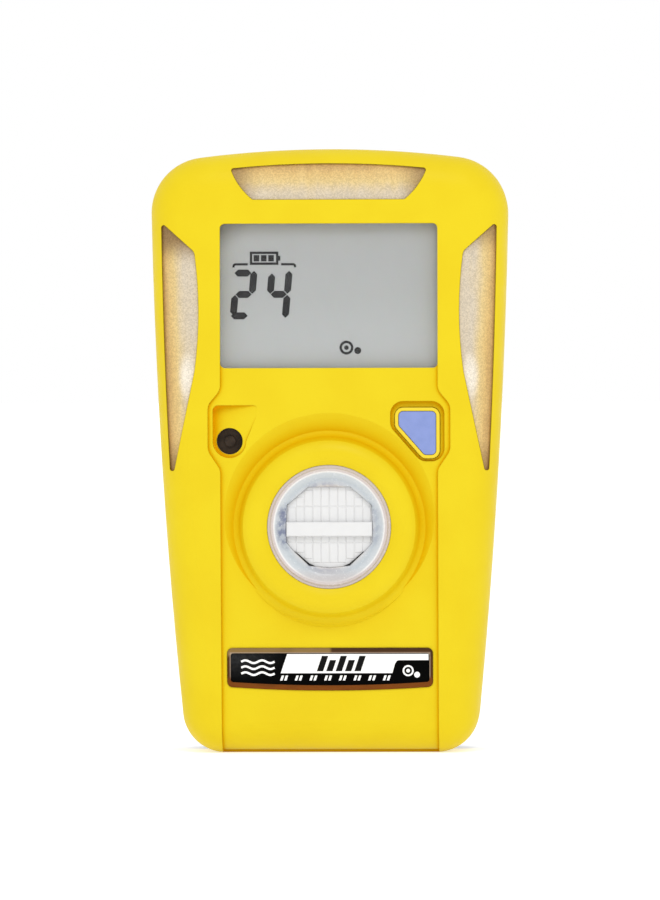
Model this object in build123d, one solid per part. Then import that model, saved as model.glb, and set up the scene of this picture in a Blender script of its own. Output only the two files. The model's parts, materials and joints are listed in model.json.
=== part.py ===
from build123d import *
from math import acos, asin, atan2, cos, degrees, hypot, radians, sin
import os

# A clip-on single-gas detector, upright. Millimetres, X to the right seen from the front,
# Y from the front of the sensor ring to the back of the clip, Z up. The origin is under the middle of
# the object, at the height of its lowest face.

# ---- Driving dimensions -------------------------------------------------------------------------
# Front outline of the case
HEIGHT = 87.0
BOTTOM_HALF = 20.87  # half width at the bottom edge, before the corner is rounded
WAIST_HALF = 24.13
WAIST_Z = 40.0
TOP_HALF = 25.81  # half width at the shoulders, before the corner is rounded
SHOULDER_Z = 84.75
BOTTOM_CORNER = 6.2
TOP_CORNER = 8.0

# Crowned front surface: flat across the middle, falling away to both sides, and curved along Z
CROWN_Y = -19.7
CROWN_Z = 58.0
CROWN_R = 450.0
CROWN_SWING = 9.0  # degrees either side that the long curve covers
FLAT_HALF = 15.0
SIDE_R = 30.0
EDGE_R = 5.0
FRONT_LIMIT = -26.0  # in front of everything, for cutting tools

# Walls and levels
SKIN = 1.0  # soft yellow overmould
BOND = 0.03  # bond line between overmould and window shell
SHELL_IN = 2.5  # inner face of the window shell, measured from the outer form
PAD_IN = 0.3  # face of the light windows below the outer form
PANEL_IN = 0.4  # step of the recessed middle panel
PARTING = -2.0
PARTING_GAP = 0.05
REAR = 7.3
REAR_WALL = 2.0
REAR_SIDE_IN = 0.15  # the rear cover stands in a little from the overmould
REAR_SIDE_WALL = 2.6
REAR_EDGE_R = 4.5
SEAL_OUT = 1.35
SEAL_IN = 2.15
SEAL_DEPTH = 0.9

# Recessed panel
PANEL_HALF = 15.6
PANEL_BULGE = 17.4
PANEL_SLOPES = (40.9, 43.6, 50.2, 52.3)
PANEL_BEND = 2.0
PANEL_BACK = -11.0

# Display
DISPLAY_WIDE = 31.2
DISPLAY_TALL = 20.7
DISPLAY_Z = 65.85
DISPLAY_CORNER = 0.7
PANE_FRONT = -18.25
PANE_THICK = 0.5
GLASS_WIDE = 33.6
GLASS_TALL = 23.2
GLASS_THICK = 1.1
LEDGE = 1.85
BACKLIGHT_THICK = 1.0
FRAME_FRONT = -15.5
FRAME_FLOOR = -13.5
FRAME_WIDE = 34.6
FRAME_TALL = 24.5
FRAME_CORNER = 1.5
FRAME_OPENING = (24.0, 14.0)
PLATE_CORNER = 0.3  # corners of the glass cell and its backlight
STRIP_LONG = 31.0
STRIP_TALL = 1.4

# Light windows: the top one is the same on both sides, and the side one is given for the right
TOP_WINDOW_LOW = (10.9, 79.65)
TOP_WINDOW_BEND = (12.8, 81.65)
TOP_WINDOW_END = (14.1, 84.15)
TOP_WINDOW_CROWN = 84.85
SIDE_WINDOW_TOP = (24.1, 76.5)
SIDE_WINDOW_SHOULDER = (19.3, 72.2)
SIDE_WINDOW_HOLLOW = (18.7, 64.0)
SIDE_WINDOW_WAIST = (19.3, 55.0)
SIDE_WINDOW_TIP = (22.8, 38.4)
SIDE_WINDOW_FLANK = (23.55, 55.0)
WINDOW_CORNER = 0.35
WINDOW_SHOULDER_R = 1.2
WINDOW_PLAY = 0.02
WINDOW_REACH = -8.0  # how far back the raised pads run

# Main circuit board
BOARD_FRONT = -12.9
BOARD_REAR = -11.7
BOARD_IN = 3.2
# Chips as X, Z, width, height and thickness
FRONT_CHIPS = ((-11.0, 16.5, 5.0, 5.0, 0.9), (0.0, 15.5, 7.0, 7.0, 1.1), (10.5, 16.5, 4.0, 3.0, 0.9))
REAR_CHIPS = ((-15.5, 27.0, 4.0, 6.0, 1.6), (15.5, 24.0, 4.5, 3.0, 1.4), (0.0, 47.5, 6.0, 4.0, 1.2))
CAPACITOR_PLACE = (15.0, 48.0)
CAPACITOR_R = 2.0
CAPACITOR_TALL = 3.4
TOP_LAMP = (6.0, 81.0)
SIDE_LAMP = (20.3, 54.5)
LAMP_SIZE = (2.0, 1.6)
LAMP_TALL = 1.3

# Gas sensor, its clear grille and the ring and dish round it
SENSOR_Z = 32.7
BORE_R = 8.9
GRILLE_R = 8.88
GRILLE_FRONT = -20.2
GRILLE_FACE = -19.0
GRILLE_REAR = -16.6
GRILLE_LIP_R = 8.2
GRILLE_WELL_R = 6.9
GRILLE_HOLE_WIDE = 12.8
GRILLE_HOLE_TALL = 11.3
GRILLE_BAR_Z = -0.35
GRILLE_BAR_TALL = 2.1
RING_FRONT = -20.5
RING_BORE_EDGE = -19.9
RING_CREST_R = 10.4
RING_SHOULDER = (12.4, -19.7)
RING_TOE = ((13.0, -18.5), (13.45, -18.1), (14.1, -17.98))
RING_SKIRT = (15.0, -16.9)
DISH_FLOOR = -17.6
DISH_IN_R = 13.0
DISH_SLOPE = 0.485  # rise of the dish wall toward the front, for each unit of radius
DISH_OUT_R = 20.0
CELL_R = 8.0
CELL_NOSE_R = 6.8
CELL_FRONT = -15.05
CELL_REAR = -6.0
CELL_HOLE_R = 8.4
SENSOR_BOARD = (-4.6, -3.8)
SENSOR_TAB = (13.0, 3.5)  # how far the small board's tab reaches, and half its height
LINK_X = (9.6, 12.0)
LINK_HALF = 3.0
GRILLE_BEVEL = 0.25
GRILLE_WEB = 1.0  # thickness of the cap's floor
FILTER_THICK = 0.5
GASKET_BORE_R = 4.6
INLET_R = 0.8
INLET_DEEP = 1.2
SENSOR_PIN_R = 0.45
PIN_CIRCLE_R = 4.6

# Sounder port and pocket
PORT = (-14.3, 45.0)
PORT_R = 1.9
POCKET_FLOOR = -18.0  # at the deep left side
POCKET_RISE = 0.19  # of the floor toward the front, for each unit to the right
POCKET_HALF = 2.4
POCKET_REACH = 4.5
POCKET_TOP = 50.15
POCKET_CORNER = 0.8
VENT_FRONT = -16.6
VENT_THICK = 0.5
VENT_LEDGE = 0.95
VENT_DOME_R = 0.8
VENT_DOME_TALL = 0.35
SOUNDER_R = 4.8
SOUNDER_FRONT = -14.9
SOUNDER_INLET_R = 1.0
SOUNDER_INLET_DEEP = 0.8
BOOT_R = 3.8
BOOT_BORE_R = 2.9
BOOT_SEAT = 0.2

# Push button
BUTTON_FRONT = -19.5
BUTTON_RIM = 0.5
BUTTON_PLAY = 0.06
BUTTON_MOAT = 1.15
MOAT_FLOOR = -18.6
MOAT_RAISED = 0.25
MOAT_WALL = 0.4
BUTTON_FLANGE = (-15.7, -14.9)
BUTTON_MIDDLE = (12.8, 46.4)
BUTTON_POINTS = ((9.95, 49.3), (15.4, 49.3), (15.4, 42.97), (13.65, 42.97), (9.95, 47.2))
BUTTON_CORNER = 0.7
BUTTON_FACE_DEEP = 0.6
BUTTON_FACE_SET = 0.02
FLANGE_WIDE = 1.0
SWITCH_HALF = 2.4
SWITCH_FRONT = -14.2
PLUNGER_R = 0.9

# Front label
LABEL_HALF = 14.8
LABEL_BAND = (9.1, 9.65, 15.25)
LABEL_CORNER = 0.8
PLATE_HALF = 14.3
PLATE_BAND = (9.85, 10.35, 14.5)
PLATE_ROUND = 0.4
BEZEL_PROUD = 0.15

# Screws and bosses
TOP_BOSS = (19.3, 79.6)
BOTTOM_BOSS = (15.8, 6.6)
BOSS_R = 2.6
BOSS_STEP_R = 3.0
INSERT_R = 1.6
INSERT_LONG = 4.0
SCREW_R = 0.8
SCREW_HEAD_R = 1.8
SCREW_HEAD = (5.0, 6.4)
SCREW_TIP = -5.8
SCREW_PLAY = 0.2
POST_WALL = 0.4
POST_REACH = 0.5  # how far the rear posts sink into the rear wall
SOCKET_R = 0.9
SOCKET_DEEP = 0.8

# Battery and vibration motor
BATTERY_Z = 62.0
BATTERY_Y = -3.2
BATTERY_R = 7.25
BATTERY_HALF = 16.75
BATTERY_CAP_R = 3.0
BATTERY_CAP_TALL = 0.8
TAB_THICK = 0.3
TAB_HALF = 2.0
PAD_HALF = (12.0, 5.0)
PAD_FRONT = 1.0
MOTOR_Z = 14.0
MOTOR_Y = -6.5
MOTOR_R = 3.0
SHAFT_R = 0.5
WEIGHT_R = 3.2
WEIGHT_X = (4.2, 8.2)
MOTOR_X = (-8.0, 3.2)
SHAFT_X = (-2.0, 8.6)
HUB_R = 1.2
CRADLE_X = (-7.0, 2.0)
CRADLE_HALF = 4.2

# Rear cover details
RAIL_X = (7.1, 8.3)
RAIL_Y = (7.0, 8.0)
RAIL_Z = (26.0, 48.0)
REAR_LABEL_Z = 74.0
REAR_LABEL_SIZE = (30.0, 11.0)
REAR_LABEL_PLAY = 0.2
REAR_LABEL_DEEP = 0.2
REAR_LABEL_CORNER = 1.2

# Spring clip
SHEET = 1.0
BASE_HALF = 7.0
BASE_BAND = (20.0, 66.0)
PIVOT_Y = 12.4
PIVOT_Z = 56.0
PIN_R = 1.2
PIN_PLAY = 0.05
BASE_EAR_R = 2.1
LEVER_EAR_R = 2.8
EAR_PLAY = 0.15
PIN_HEAD_R = 2.0
CLIP_SCREW_Z = 48.0
CLIP_SCREW_R = 1.0
CLIP_SCREW_TIP = 1.8
CLIP_HEAD_R = 2.2
CLIP_HEAD_TALL = 1.1
CLIP_SOCKET_FLOOR = 0.3
CLIP_POST_R = 3.0
BASE_EAR_Z = (49.5, 62.5)
LEVER_EAR = ((15.1, 47.5), (16.9, 65.0))
TOOTH_COUNT = 5
TOOTH_PITCH = 2.2
LIP_HALF = 5.5
LEVER_LINE = ((8.9, 21.6), (13.6, 27.6), (15.2, 50.0), (15.7, 58.0), (20.01, 76.5))
LANYARD_Z = 71.5
LANYARD_R = 2.0
COIL_R = 1.85
WIRE_R = 0.35
COIL_HALF = 2.6
COIL_TURNS = 5
LEVER_LEG_END = (16.3, 64.7)  # Y and Z of the leg's end under the lever
BASE_LEG_END = (8.67, 64.5)


# ---- Sketch and solid helpers -------------------------------------------------------------------
def at_depth(y):
    """The sketch plane at depth y that faces the front, with X to the right and Z up."""
    return Plane(origin=(0, y, 0), x_dir=(1, 0, 0), z_dir=(0, -1, 0))


def slab(outline, front, rear):
    """An X-Z outline as a prism between two depths."""
    return extrude(at_depth(rear) * outline, amount=rear - front)


def disc(place, radius, front, rear):
    """A round prism about a Y-parallel axis at an X-Z place."""
    return slab(Pos(*place) * Circle(radius), front, rear)


def rod(place, radius, left, right):
    """A round bar along X, at a Y-Z place."""
    return extrude(Plane.YZ.offset(left) * Pos(*place) * Circle(radius), amount=right - left)


def block(x, y, z):
    """A box from three pairs of limits."""
    middle = [(low + high) / 2 for low, high in (x, y, z)]
    return Pos(*middle) * Box(x[1] - x[0], y[1] - y[0], z[1] - z[0])


def turned(points, z=SENSOR_Z):
    """A solid turned about the sensor's axis from (radius, y) points."""
    face = make_face(Polyline(*points, close=True))
    return revolve(Pos(0, 0, z) * face, axis=Axis((0, 0, z), (0, 1, 0)))


def mirrored(solid):
    """The solid and its twin across the middle plane."""
    return [solid, mirror(solid, about=Plane.YZ)]


def boss_places():
    """The X-Z places of the four case screws."""
    return [(side * x, z) for x, z in (TOP_BOSS, BOTTOM_BOSS) for side in (-1, 1)]


# ---- Outer form ---------------------------------------------------------------------------------
def outline(inset=0.0):
    """The case as seen from the front, moved in by the inset."""
    bottom = Line((-BOTTOM_HALF, 0), (BOTTOM_HALF, 0))
    right = ThreePointArc((BOTTOM_HALF, 0), (WAIST_HALF, WAIST_Z), (TOP_HALF, SHOULDER_Z))
    top = ThreePointArc((TOP_HALF, SHOULDER_Z), (0, HEIGHT), (-TOP_HALF, SHOULDER_Z))
    left = ThreePointArc((-TOP_HALF, SHOULDER_Z), (-WAIST_HALF, WAIST_Z), (-BOTTOM_HALF, 0))
    face = make_face([bottom, right, top, left])
    face = fillet(face.vertices().group_by(Axis.Y)[0], BOTTOM_CORNER)
    face = fillet(face.vertices().group_by(Axis.Y)[-1], TOP_CORNER)
    return offset(face, amount=-inset) if inset else face


def crown(inset=0.0):
    """Everything behind the crowned front surface, which is moved back by the inset."""
    reach = TOP_HALF + 1
    radius = SIDE_R - inset
    turn = degrees(asin((reach - FLAT_HALF) / radius))
    centre_y = CROWN_Y + SIDE_R
    right = CenterArc((FLAT_HALF, centre_y), radius, -90, turn)
    left = CenterArc((-FLAT_HALF, centre_y), radius, -90 - turn, turn)
    front = Line(left @ 1, right @ 0)
    right_side = Line(right @ 1, (reach, centre_y))
    back = Line((reach, centre_y), (-reach, centre_y))
    left_side = Line((-reach, centre_y), left @ 0)
    face = Pos(0, 0, CROWN_Z) * make_face([left, front, right, right_side, back, left_side])
    axis = Axis((0, CROWN_Y + CROWN_R, CROWN_Z), (1, 0, 0))
    return revolve(face.rotate(axis, -CROWN_SWING), axis=axis, revolution_arc=2 * CROWN_SWING)


def form(inset, rear):
    """The case's outer form with rounded front edges, moved in by the inset and cut off at the rear depth."""
    body = slab(outline(inset), FRONT_LIMIT, rear) & crown(inset)
    faces = body.faces()
    walls = faces.filter_by(lambda face: abs(face.normal_at().Y) < 0.01)
    fronts = faces.filter_by(lambda face: face.normal_at().Y < -0.3)
    loop = walls.edges() & fronts.edges()
    return fillet(loop, EDGE_R - inset)


def panel_outline():
    """The recessed middle panel, which widens beside the sensor's dish."""
    low, widest_low, widest_high, high = PANEL_SLOPES
    top = DISPLAY_Z + DISPLAY_TALL / 2
    half = [(PANEL_HALF, -3), (PANEL_HALF, low), (PANEL_BULGE, widest_low)]
    half += [(PANEL_BULGE, widest_high), (PANEL_HALF, high), (PANEL_HALF, top)]
    other = [(-x, z) for x, z in reversed(half)]
    face = make_face(Polyline(*half, *other, close=True))
    bends = [corner for corner in face.vertices() if low <= corner.Y <= high]
    face = fillet(bends, PANEL_BEND)
    return fillet(face.vertices().group_by(Axis.Y)[-1], DISPLAY_CORNER)


def dish(inset):
    """The conical hollow round the sensor ring, kept within the panel and moved in by the inset."""
    lean = hypot(1, DISH_SLOPE)
    floor = DISH_FLOOR + inset
    inner = DISH_IN_R + inset * (lean - 1) / DISH_SLOPE
    rise = (DISH_OUT_R - inner) * DISH_SLOPE
    points = [(0, floor), (inner, floor), (DISH_OUT_R, floor - rise)]
    points += [(DISH_OUT_R, FRONT_LIMIT), (0, FRONT_LIMIT)]
    within = offset(panel_outline(), amount=inset) if inset else panel_outline()
    return turned(points) & slab(within, FRONT_LIMIT, 0)


def pocket(inset):
    """The pocket round the sounder port, moved in by the inset. Its floor climbs to the right."""
    x, z = PORT
    low_x = x - POCKET_HALF
    high_x = x + POCKET_REACH
    left = Line((low_x, z), (low_x, POCKET_TOP))
    top = Line((low_x, POCKET_TOP), (high_x, POCKET_TOP))
    right = Line((high_x, POCKET_TOP), (x + POCKET_HALF, z))
    bottom = ThreePointArc((x + POCKET_HALF, z), (x, z - POCKET_HALF), (low_x, z))
    face = make_face([left, top, right, bottom])
    face = fillet(face.vertices().group_by(Axis.Y)[-1], POCKET_CORNER)
    face = offset(face, amount=inset) if inset else face
    deep = POCKET_FLOOR + inset
    before = low_x - SHELL_IN - 1
    after = high_x + SHELL_IN + 1
    ramp = [(before, deep), (low_x, deep), (after, deep - (after - low_x) * POCKET_RISE)]
    ramp = make_face(Polyline(*ramp, (after, FRONT_LIMIT), (before, FRONT_LIMIT), close=True))
    return slab(face, FRONT_LIMIT, 0) & extrude(ramp, amount=HEIGHT)


def hollowed(inset, rear):
    """The outer form with the dish and the sounder pocket pressed into it."""
    return form(inset, rear) - dish(inset) - pocket(inset)


# ---- Openings of the front ----------------------------------------------------------------------
def display_opening():
    return Pos(0, DISPLAY_Z) * RectangleRounded(DISPLAY_WIDE, DISPLAY_TALL, DISPLAY_CORNER)


def top_window():
    """The light window across the top edge."""
    low, bend, end = TOP_WINDOW_LOW, TOP_WINDOW_BEND, TOP_WINDOW_END
    top = ThreePointArc(end, (0, TOP_WINDOW_CROWN), (-end[0], end[1]))
    left = ThreePointArc((-end[0], end[1]), (-bend[0], bend[1]), (-low[0], low[1]))
    bottom = Line((-low[0], low[1]), low)
    right = ThreePointArc(low, bend, end)
    face = make_face([top, left, bottom, right])
    return fillet(face.vertices(), WINDOW_CORNER)


def side_window():
    """The blade-shaped light window on the right."""
    slope = Line(SIDE_WINDOW_TOP, SIDE_WINDOW_SHOULDER)
    inner = ThreePointArc(SIDE_WINDOW_SHOULDER, SIDE_WINDOW_HOLLOW, SIDE_WINDOW_WAIST)
    blade = Line(SIDE_WINDOW_WAIST, SIDE_WINDOW_TIP)
    outer = ThreePointArc(SIDE_WINDOW_TIP, SIDE_WINDOW_FLANK, SIDE_WINDOW_TOP)
    face = make_face([slope, inner, blade, outer])
    face = fillet(face.vertices().sort_by(Axis.X)[0:2].sort_by(Axis.Y)[-1], WINDOW_SHOULDER_R)
    ends = face.vertices().group_by(Axis.Y)
    return fillet([*ends[0], *ends[-1]], WINDOW_CORNER)


def light_windows(gap):
    """The three light windows, smaller all round by the gap."""
    side = offset(side_window(), amount=-gap) if gap else side_window()
    top = offset(top_window(), amount=-gap) if gap else top_window()
    return [slab(face, FRONT_LIMIT, WINDOW_REACH) for face in (side, mirror(side, about=Plane.YZ), top)]


def button_outline(margin=0.0):
    """The five-sided button face, larger all round by the margin."""
    face = make_face(Polyline(*BUTTON_POINTS, close=True))
    face = fillet(face.vertices(), BUTTON_CORNER)
    return offset(face, amount=margin) if margin else face


def moat_outline(margin=0.0):
    """The outline of the groove round the button, a little wider above it than below it."""
    return Pos(0, MOAT_RAISED) * button_outline(BUTTON_MOAT + margin)


def band(half, levels, corner):
    """A label outline: straight top and ends, and a bottom edge that bows down in the middle."""
    middle, ends, top = levels
    right = Line((half, ends), (half, top))
    upper = Line((half, top), (-half, top))
    left = Line((-half, top), (-half, ends))
    lower = ThreePointArc((-half, ends), (0, middle), (half, ends))
    return fillet(make_face([right, upper, left, lower]).vertices(), corner)


# ---- Front case ---------------------------------------------------------------------------------
def front_overmould():
    """The soft yellow skin with rails, panel, sensor ring and dish."""
    rear = PARTING - PARTING_GAP
    panel = slab(panel_outline(), FRONT_LIMIT, PANEL_BACK) - form(PANEL_IN, 0)
    skin = hollowed(0.0, rear) - panel
    skin += sensor_ring()
    bed = skin & slab(moat_outline(MOAT_WALL), FRONT_LIMIT, MOAT_FLOOR + MOAT_WALL)
    skin -= hollowed(SKIN, 0)
    skin += bed
    skin -= disc((0, SENSOR_Z), BORE_R, FRONT_LIMIT, 0)
    skin -= slab(display_opening(), FRONT_LIMIT, 0)
    skin -= light_windows(0)
    skin -= disc(PORT, PORT_R, FRONT_LIMIT, 0)
    skin -= slab(moat_outline(), FRONT_LIMIT, MOAT_FLOOR)
    skin -= slab(button_outline(BUTTON_RIM + BUTTON_PLAY), FRONT_LIMIT, 0)
    return skin - slab(band(LABEL_HALF, LABEL_BAND, LABEL_CORNER), FRONT_LIMIT, 0)


def sensor_ring():
    """The rounded ring that stands round the sensor grille, with a skirt that sinks into the skin."""
    base = DISH_FLOOR + SKIN
    inner = Line((BORE_R - 0.2, base), (BORE_R - 0.2, RING_BORE_EDGE))
    rounded = ThreePointArc((BORE_R - 0.2, RING_BORE_EDGE), (RING_CREST_R, RING_FRONT), RING_SHOULDER)
    flank = Line(RING_SHOULDER, RING_TOE[0])
    toe = ThreePointArc(*RING_TOE)
    foot = Polyline(RING_TOE[-1], RING_SKIRT, (RING_SKIRT[0], base))
    under = Line((RING_SKIRT[0], base), (BORE_R - 0.2, base))
    face = Pos(0, 0, SENSOR_Z) * make_face([inner, rounded, flank, toe, foot, under])
    return revolve(face, axis=Axis((0, 0, SENSOR_Z), (0, 1, 0)))


def front_shell():
    """The translucent shell under the skin, with raised pads that fill the light windows."""
    rear = PARTING - PARTING_GAP
    outer = hollowed(SKIN + BOND, rear)
    pads = [form(PAD_IN, rear) & window for window in light_windows(WINDOW_PLAY)]
    shell = outer + pads
    shell -= hollowed(SHELL_IN, 0)
    shell += disc(PORT, BOOT_R + BOOT_SEAT, VENT_FRONT - 0.1, POCKET_FLOOR + SHELL_IN)
    core = form(SKIN + BOND + 0.5, rear)
    for place in boss_places():
        post = disc(place, BOSS_R, FRONT_LIMIT, rear) + disc(place, BOSS_STEP_R, FRONT_LIMIT, BOARD_FRONT)
        shell += post & core
        shell -= disc(place, INSERT_R, rear - INSERT_LONG - 1, rear)
    glass = Pos(0, DISPLAY_Z) * RectangleRounded(GLASS_WIDE + 0.3, GLASS_TALL + 0.3, DISPLAY_CORNER)
    shell -= slab(glass, FRONT_LIMIT, 0)
    shell -= disc((0, SENSOR_Z), CELL_NOSE_R + 0.1, FRONT_LIMIT, 0)
    shell -= disc(PORT, PORT_R, FRONT_LIMIT, 0)
    shell -= disc(PORT, PORT_R + VENT_LEDGE, VENT_FRONT, 0)
    shell -= slab(moat_outline(MOAT_WALL + BOND), FRONT_LIMIT, MOAT_FLOOR + MOAT_WALL + BOND)
    return shell - slab(button_outline(BUTTON_RIM + BUTTON_PLAY), FRONT_LIMIT, 0)


def label_bezel():
    """The amber frame round the front label, a little proud of the panel."""
    frame = slab(band(LABEL_HALF - 0.04, LABEL_BAND, LABEL_CORNER - 0.05), FRONT_LIMIT, 0)
    frame = frame & crown(PANEL_IN - BEZEL_PROUD)
    frame -= slab(band(PLATE_HALF, PLATE_BAND, PLATE_ROUND), FRONT_LIMIT, 0)
    return frame - crown(SKIN)


def front_label():
    """The printed plate inside the amber frame."""
    plate = slab(band(PLATE_HALF - 0.02, PLATE_BAND, PLATE_ROUND - 0.02), FRONT_LIMIT, 0)
    return (plate & crown(PANEL_IN)) - crown(SKIN)


# ---- Display ------------------------------------------------------------------------------------
def display_plate(wide, tall, front, thick, corner=DISPLAY_CORNER):
    """A flat rounded plate centred on the display."""
    return slab(Pos(0, DISPLAY_Z) * RectangleRounded(wide, tall, corner), front, front + thick)


def display_window():
    """The clear pane behind the display opening."""
    return display_plate(GLASS_WIDE, GLASS_TALL, PANE_FRONT, PANE_THICK)


def display_glass():
    """The liquid-crystal cell: a front glass with contact ledges, and a smaller rear glass."""
    front = PANE_FRONT + PANE_THICK
    cell = display_plate(GLASS_WIDE, GLASS_TALL, front, GLASS_THICK, PLATE_CORNER)
    rear_tall = GLASS_TALL - 2 * LEDGE
    return cell + display_plate(GLASS_WIDE, rear_tall, front + GLASS_THICK, GLASS_THICK, PLATE_CORNER)


def display_backlight():
    """The light-spreading plate behind the cell."""
    front = PANE_FRONT + PANE_THICK + 2 * GLASS_THICK
    tall = GLASS_TALL - 2 * LEDGE - 0.3
    return display_plate(GLASS_WIDE - 0.6, tall, front, BACKLIGHT_THICK, PLATE_CORNER)


def connector_bars(margin):
    """The places of the two contact strips above and below the cell, larger by the margin."""
    away = (GLASS_TALL - LEDGE) / 2
    bar = Rectangle(STRIP_LONG + 2 * margin, STRIP_TALL + 2 * margin)
    return [Pos(0, DISPLAY_Z + side * away) * bar for side in (-1, 1)]


def display_connectors():
    """Rubber contact strips from the cell's ledges to the circuit board."""
    front = PANE_FRONT + PANE_THICK + GLASS_THICK
    return Compound([solid for bar in connector_bars(0) for solid in slab(bar, front, BOARD_FRONT).solids()])


def display_frame():
    """The tray that holds backlight and contact strips on the board."""
    depth = BOARD_FRONT - FRAME_FRONT
    tray = display_plate(FRAME_WIDE, FRAME_TALL, FRAME_FRONT, depth, FRAME_CORNER)
    tray -= display_plate(GLASS_WIDE + 0.1, GLASS_TALL + 0.3, FRAME_FRONT, FRAME_FLOOR - FRAME_FRONT, 1.0)
    tray -= display_plate(*FRAME_OPENING, FRAME_FLOOR, BOARD_FRONT - FRAME_FLOOR, 1.0)
    return tray - [slab(bar, FRAME_FRONT, BOARD_FRONT) for bar in connector_bars(0.1)]


# ---- Electronics --------------------------------------------------------------------------------
def main_board():
    """The circuit board, notched for the case bosses and pierced for the sensor cell."""
    board = slab(outline(BOARD_IN), BOARD_FRONT, BOARD_REAR)
    board -= disc((0, SENSOR_Z), CELL_HOLE_R, BOARD_FRONT, BOARD_REAR)
    return board - [disc(place, BOSS_R + 0.15, BOARD_FRONT, BOARD_REAR) for place in boss_places()]


def board_components():
    """Chips on the front of the board, and a crystal and capacitors behind."""
    parts = []
    for x, z, wide, tall, thick in FRONT_CHIPS:
        parts.append(slab(Pos(x, z) * Rectangle(wide, tall), BOARD_FRONT - thick, BOARD_FRONT))
    for x, z, wide, tall, thick in REAR_CHIPS:
        parts.append(slab(Pos(x, z) * Rectangle(wide, tall), BOARD_REAR, BOARD_REAR + thick))
    for x in (-CAPACITOR_PLACE[0], CAPACITOR_PLACE[0]):
        parts.append(disc((x, CAPACITOR_PLACE[1]), CAPACITOR_R, BOARD_REAR, BOARD_REAR + CAPACITOR_TALL))
    return Compound([solid for part in parts for solid in part.solids()])


def alarm_leds():
    """Alarm lamps on the board behind the light windows."""
    places = [(side * x, z) for x, z in (TOP_LAMP, SIDE_LAMP) for side in (-1, 1)]
    front = BOARD_FRONT - LAMP_TALL
    chips = [slab(Pos(*place) * Rectangle(*LAMP_SIZE), front, BOARD_FRONT) for place in places]
    return Compound([solid for chip in chips for solid in chip.solids()])


def battery():
    """The lithium cell, lying across the case behind the display."""
    place = (BATTERY_Y, BATTERY_Z)
    shoulder = BATTERY_HALF - BATTERY_CAP_TALL
    cell = fillet(rod(place, BATTERY_R, -BATTERY_HALF, shoulder).edges(), 0.6)
    return cell + rod(place, BATTERY_CAP_R, shoulder - 0.2, BATTERY_HALF)


def battery_tabs():
    """Welded strips from the cell's ends to the board."""
    depth = (BOARD_REAR, BATTERY_Y + TAB_HALF)
    tall = (BATTERY_Z - TAB_HALF, BATTERY_Z + TAB_HALF)
    return Compound(mirrored(block((BATTERY_HALF, BATTERY_HALF + TAB_THICK), depth, tall)))


def battery_pad():
    """Foam between the cell and the rear cover, hollowed to the cell."""
    half, tall = PAD_HALF
    pad = block((-half, half), (PAD_FRONT, REAR - REAR_WALL), (BATTERY_Z - tall, BATTERY_Z + tall))
    return pad - rod((BATTERY_Y, BATTERY_Z), BATTERY_R + 0.02, -20.0, 20.0)


def vibration_motor():
    """The small motor's can, lying across the case, with a bearing for its shaft."""
    place = (MOTOR_Y, MOTOR_Z)
    can = fillet(rod(place, MOTOR_R, *MOTOR_X).edges(), 0.4)
    return can - rod(place, SHAFT_R + 0.03, SHAFT_X[0] - 0.2, MOTOR_X[1])


def motor_shaft():
    """The motor's shaft."""
    return rod((MOTOR_Y, MOTOR_Z), SHAFT_R, *SHAFT_X)


def motor_weight():
    """The eccentric weight, a half disc with a hub pressed on the motor's shaft."""
    half = rod((MOTOR_Y, MOTOR_Z), WEIGHT_R, *WEIGHT_X)
    half -= block((0, 10), (MOTOR_Y - 4, MOTOR_Y + 4), (MOTOR_Z + 0.4, MOTOR_Z + 4))
    hub = rod((MOTOR_Y, MOTOR_Z), HUB_R, *WEIGHT_X)
    return half + hub - rod((MOTOR_Y, MOTOR_Z), SHAFT_R, *SHAFT_X)


def motor_cradle():
    """The rubber saddle that holds the motor to the board."""
    saddle = block(CRADLE_X, (BOARD_REAR, MOTOR_Y + 1.4), (MOTOR_Z - CRADLE_HALF, MOTOR_Z + CRADLE_HALF))
    return saddle - rod((MOTOR_Y, MOTOR_Z), MOTOR_R, -9.0, 4.0)


# ---- Gas sensor ---------------------------------------------------------------------------------
def sensor_grille():
    """The clear cap over the filter: a stepped rim, a well, and a many-sided opening crossed by a bar."""
    points = [
        (0, GRILLE_FACE + 0.4),
        (GRILLE_WELL_R - 0.2, GRILLE_FACE + 0.4),
        (GRILLE_WELL_R, GRILLE_FACE),
        (GRILLE_LIP_R, GRILLE_FRONT + GRILLE_BEVEL),
        (GRILLE_LIP_R + GRILLE_BEVEL, GRILLE_FRONT),
        (GRILLE_R - GRILLE_BEVEL, GRILLE_FRONT),
        (GRILLE_R, GRILLE_FRONT + GRILLE_BEVEL),
        (GRILLE_R, GRILLE_REAR),
        (GRILLE_WELL_R + 0.1, GRILLE_REAR),
        (GRILLE_WELL_R + 0.1, GRILLE_FACE + GRILLE_WEB),
        (0, GRILLE_FACE + GRILLE_WEB),
    ]
    cap = turned(points)
    hole = RectangleRounded(GRILLE_HOLE_WIDE, GRILLE_HOLE_TALL, 2.4) - Pos(0, GRILLE_BAR_Z) * Rectangle(
        GRILLE_HOLE_WIDE, GRILLE_BAR_TALL
    )
    return cap - slab(Pos(0, SENSOR_Z) * hole, FRONT_LIMIT, 0)


def sensor_filter():
    """The white membrane disc under the grille."""
    front = GRILLE_FACE + GRILLE_WEB
    return disc((0, SENSOR_Z), GRILLE_WELL_R, front, front + FILTER_THICK)


def sensor_gasket():
    """The soft ring that seals the filter to the cell's nose."""
    front = GRILLE_FACE + GRILLE_WEB + FILTER_THICK
    ring = disc((0, SENSOR_Z), GRILLE_WELL_R, front, GRILLE_REAR)
    return ring - disc((0, SENSOR_Z), GASKET_BORE_R, front, GRILLE_REAR)


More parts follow.
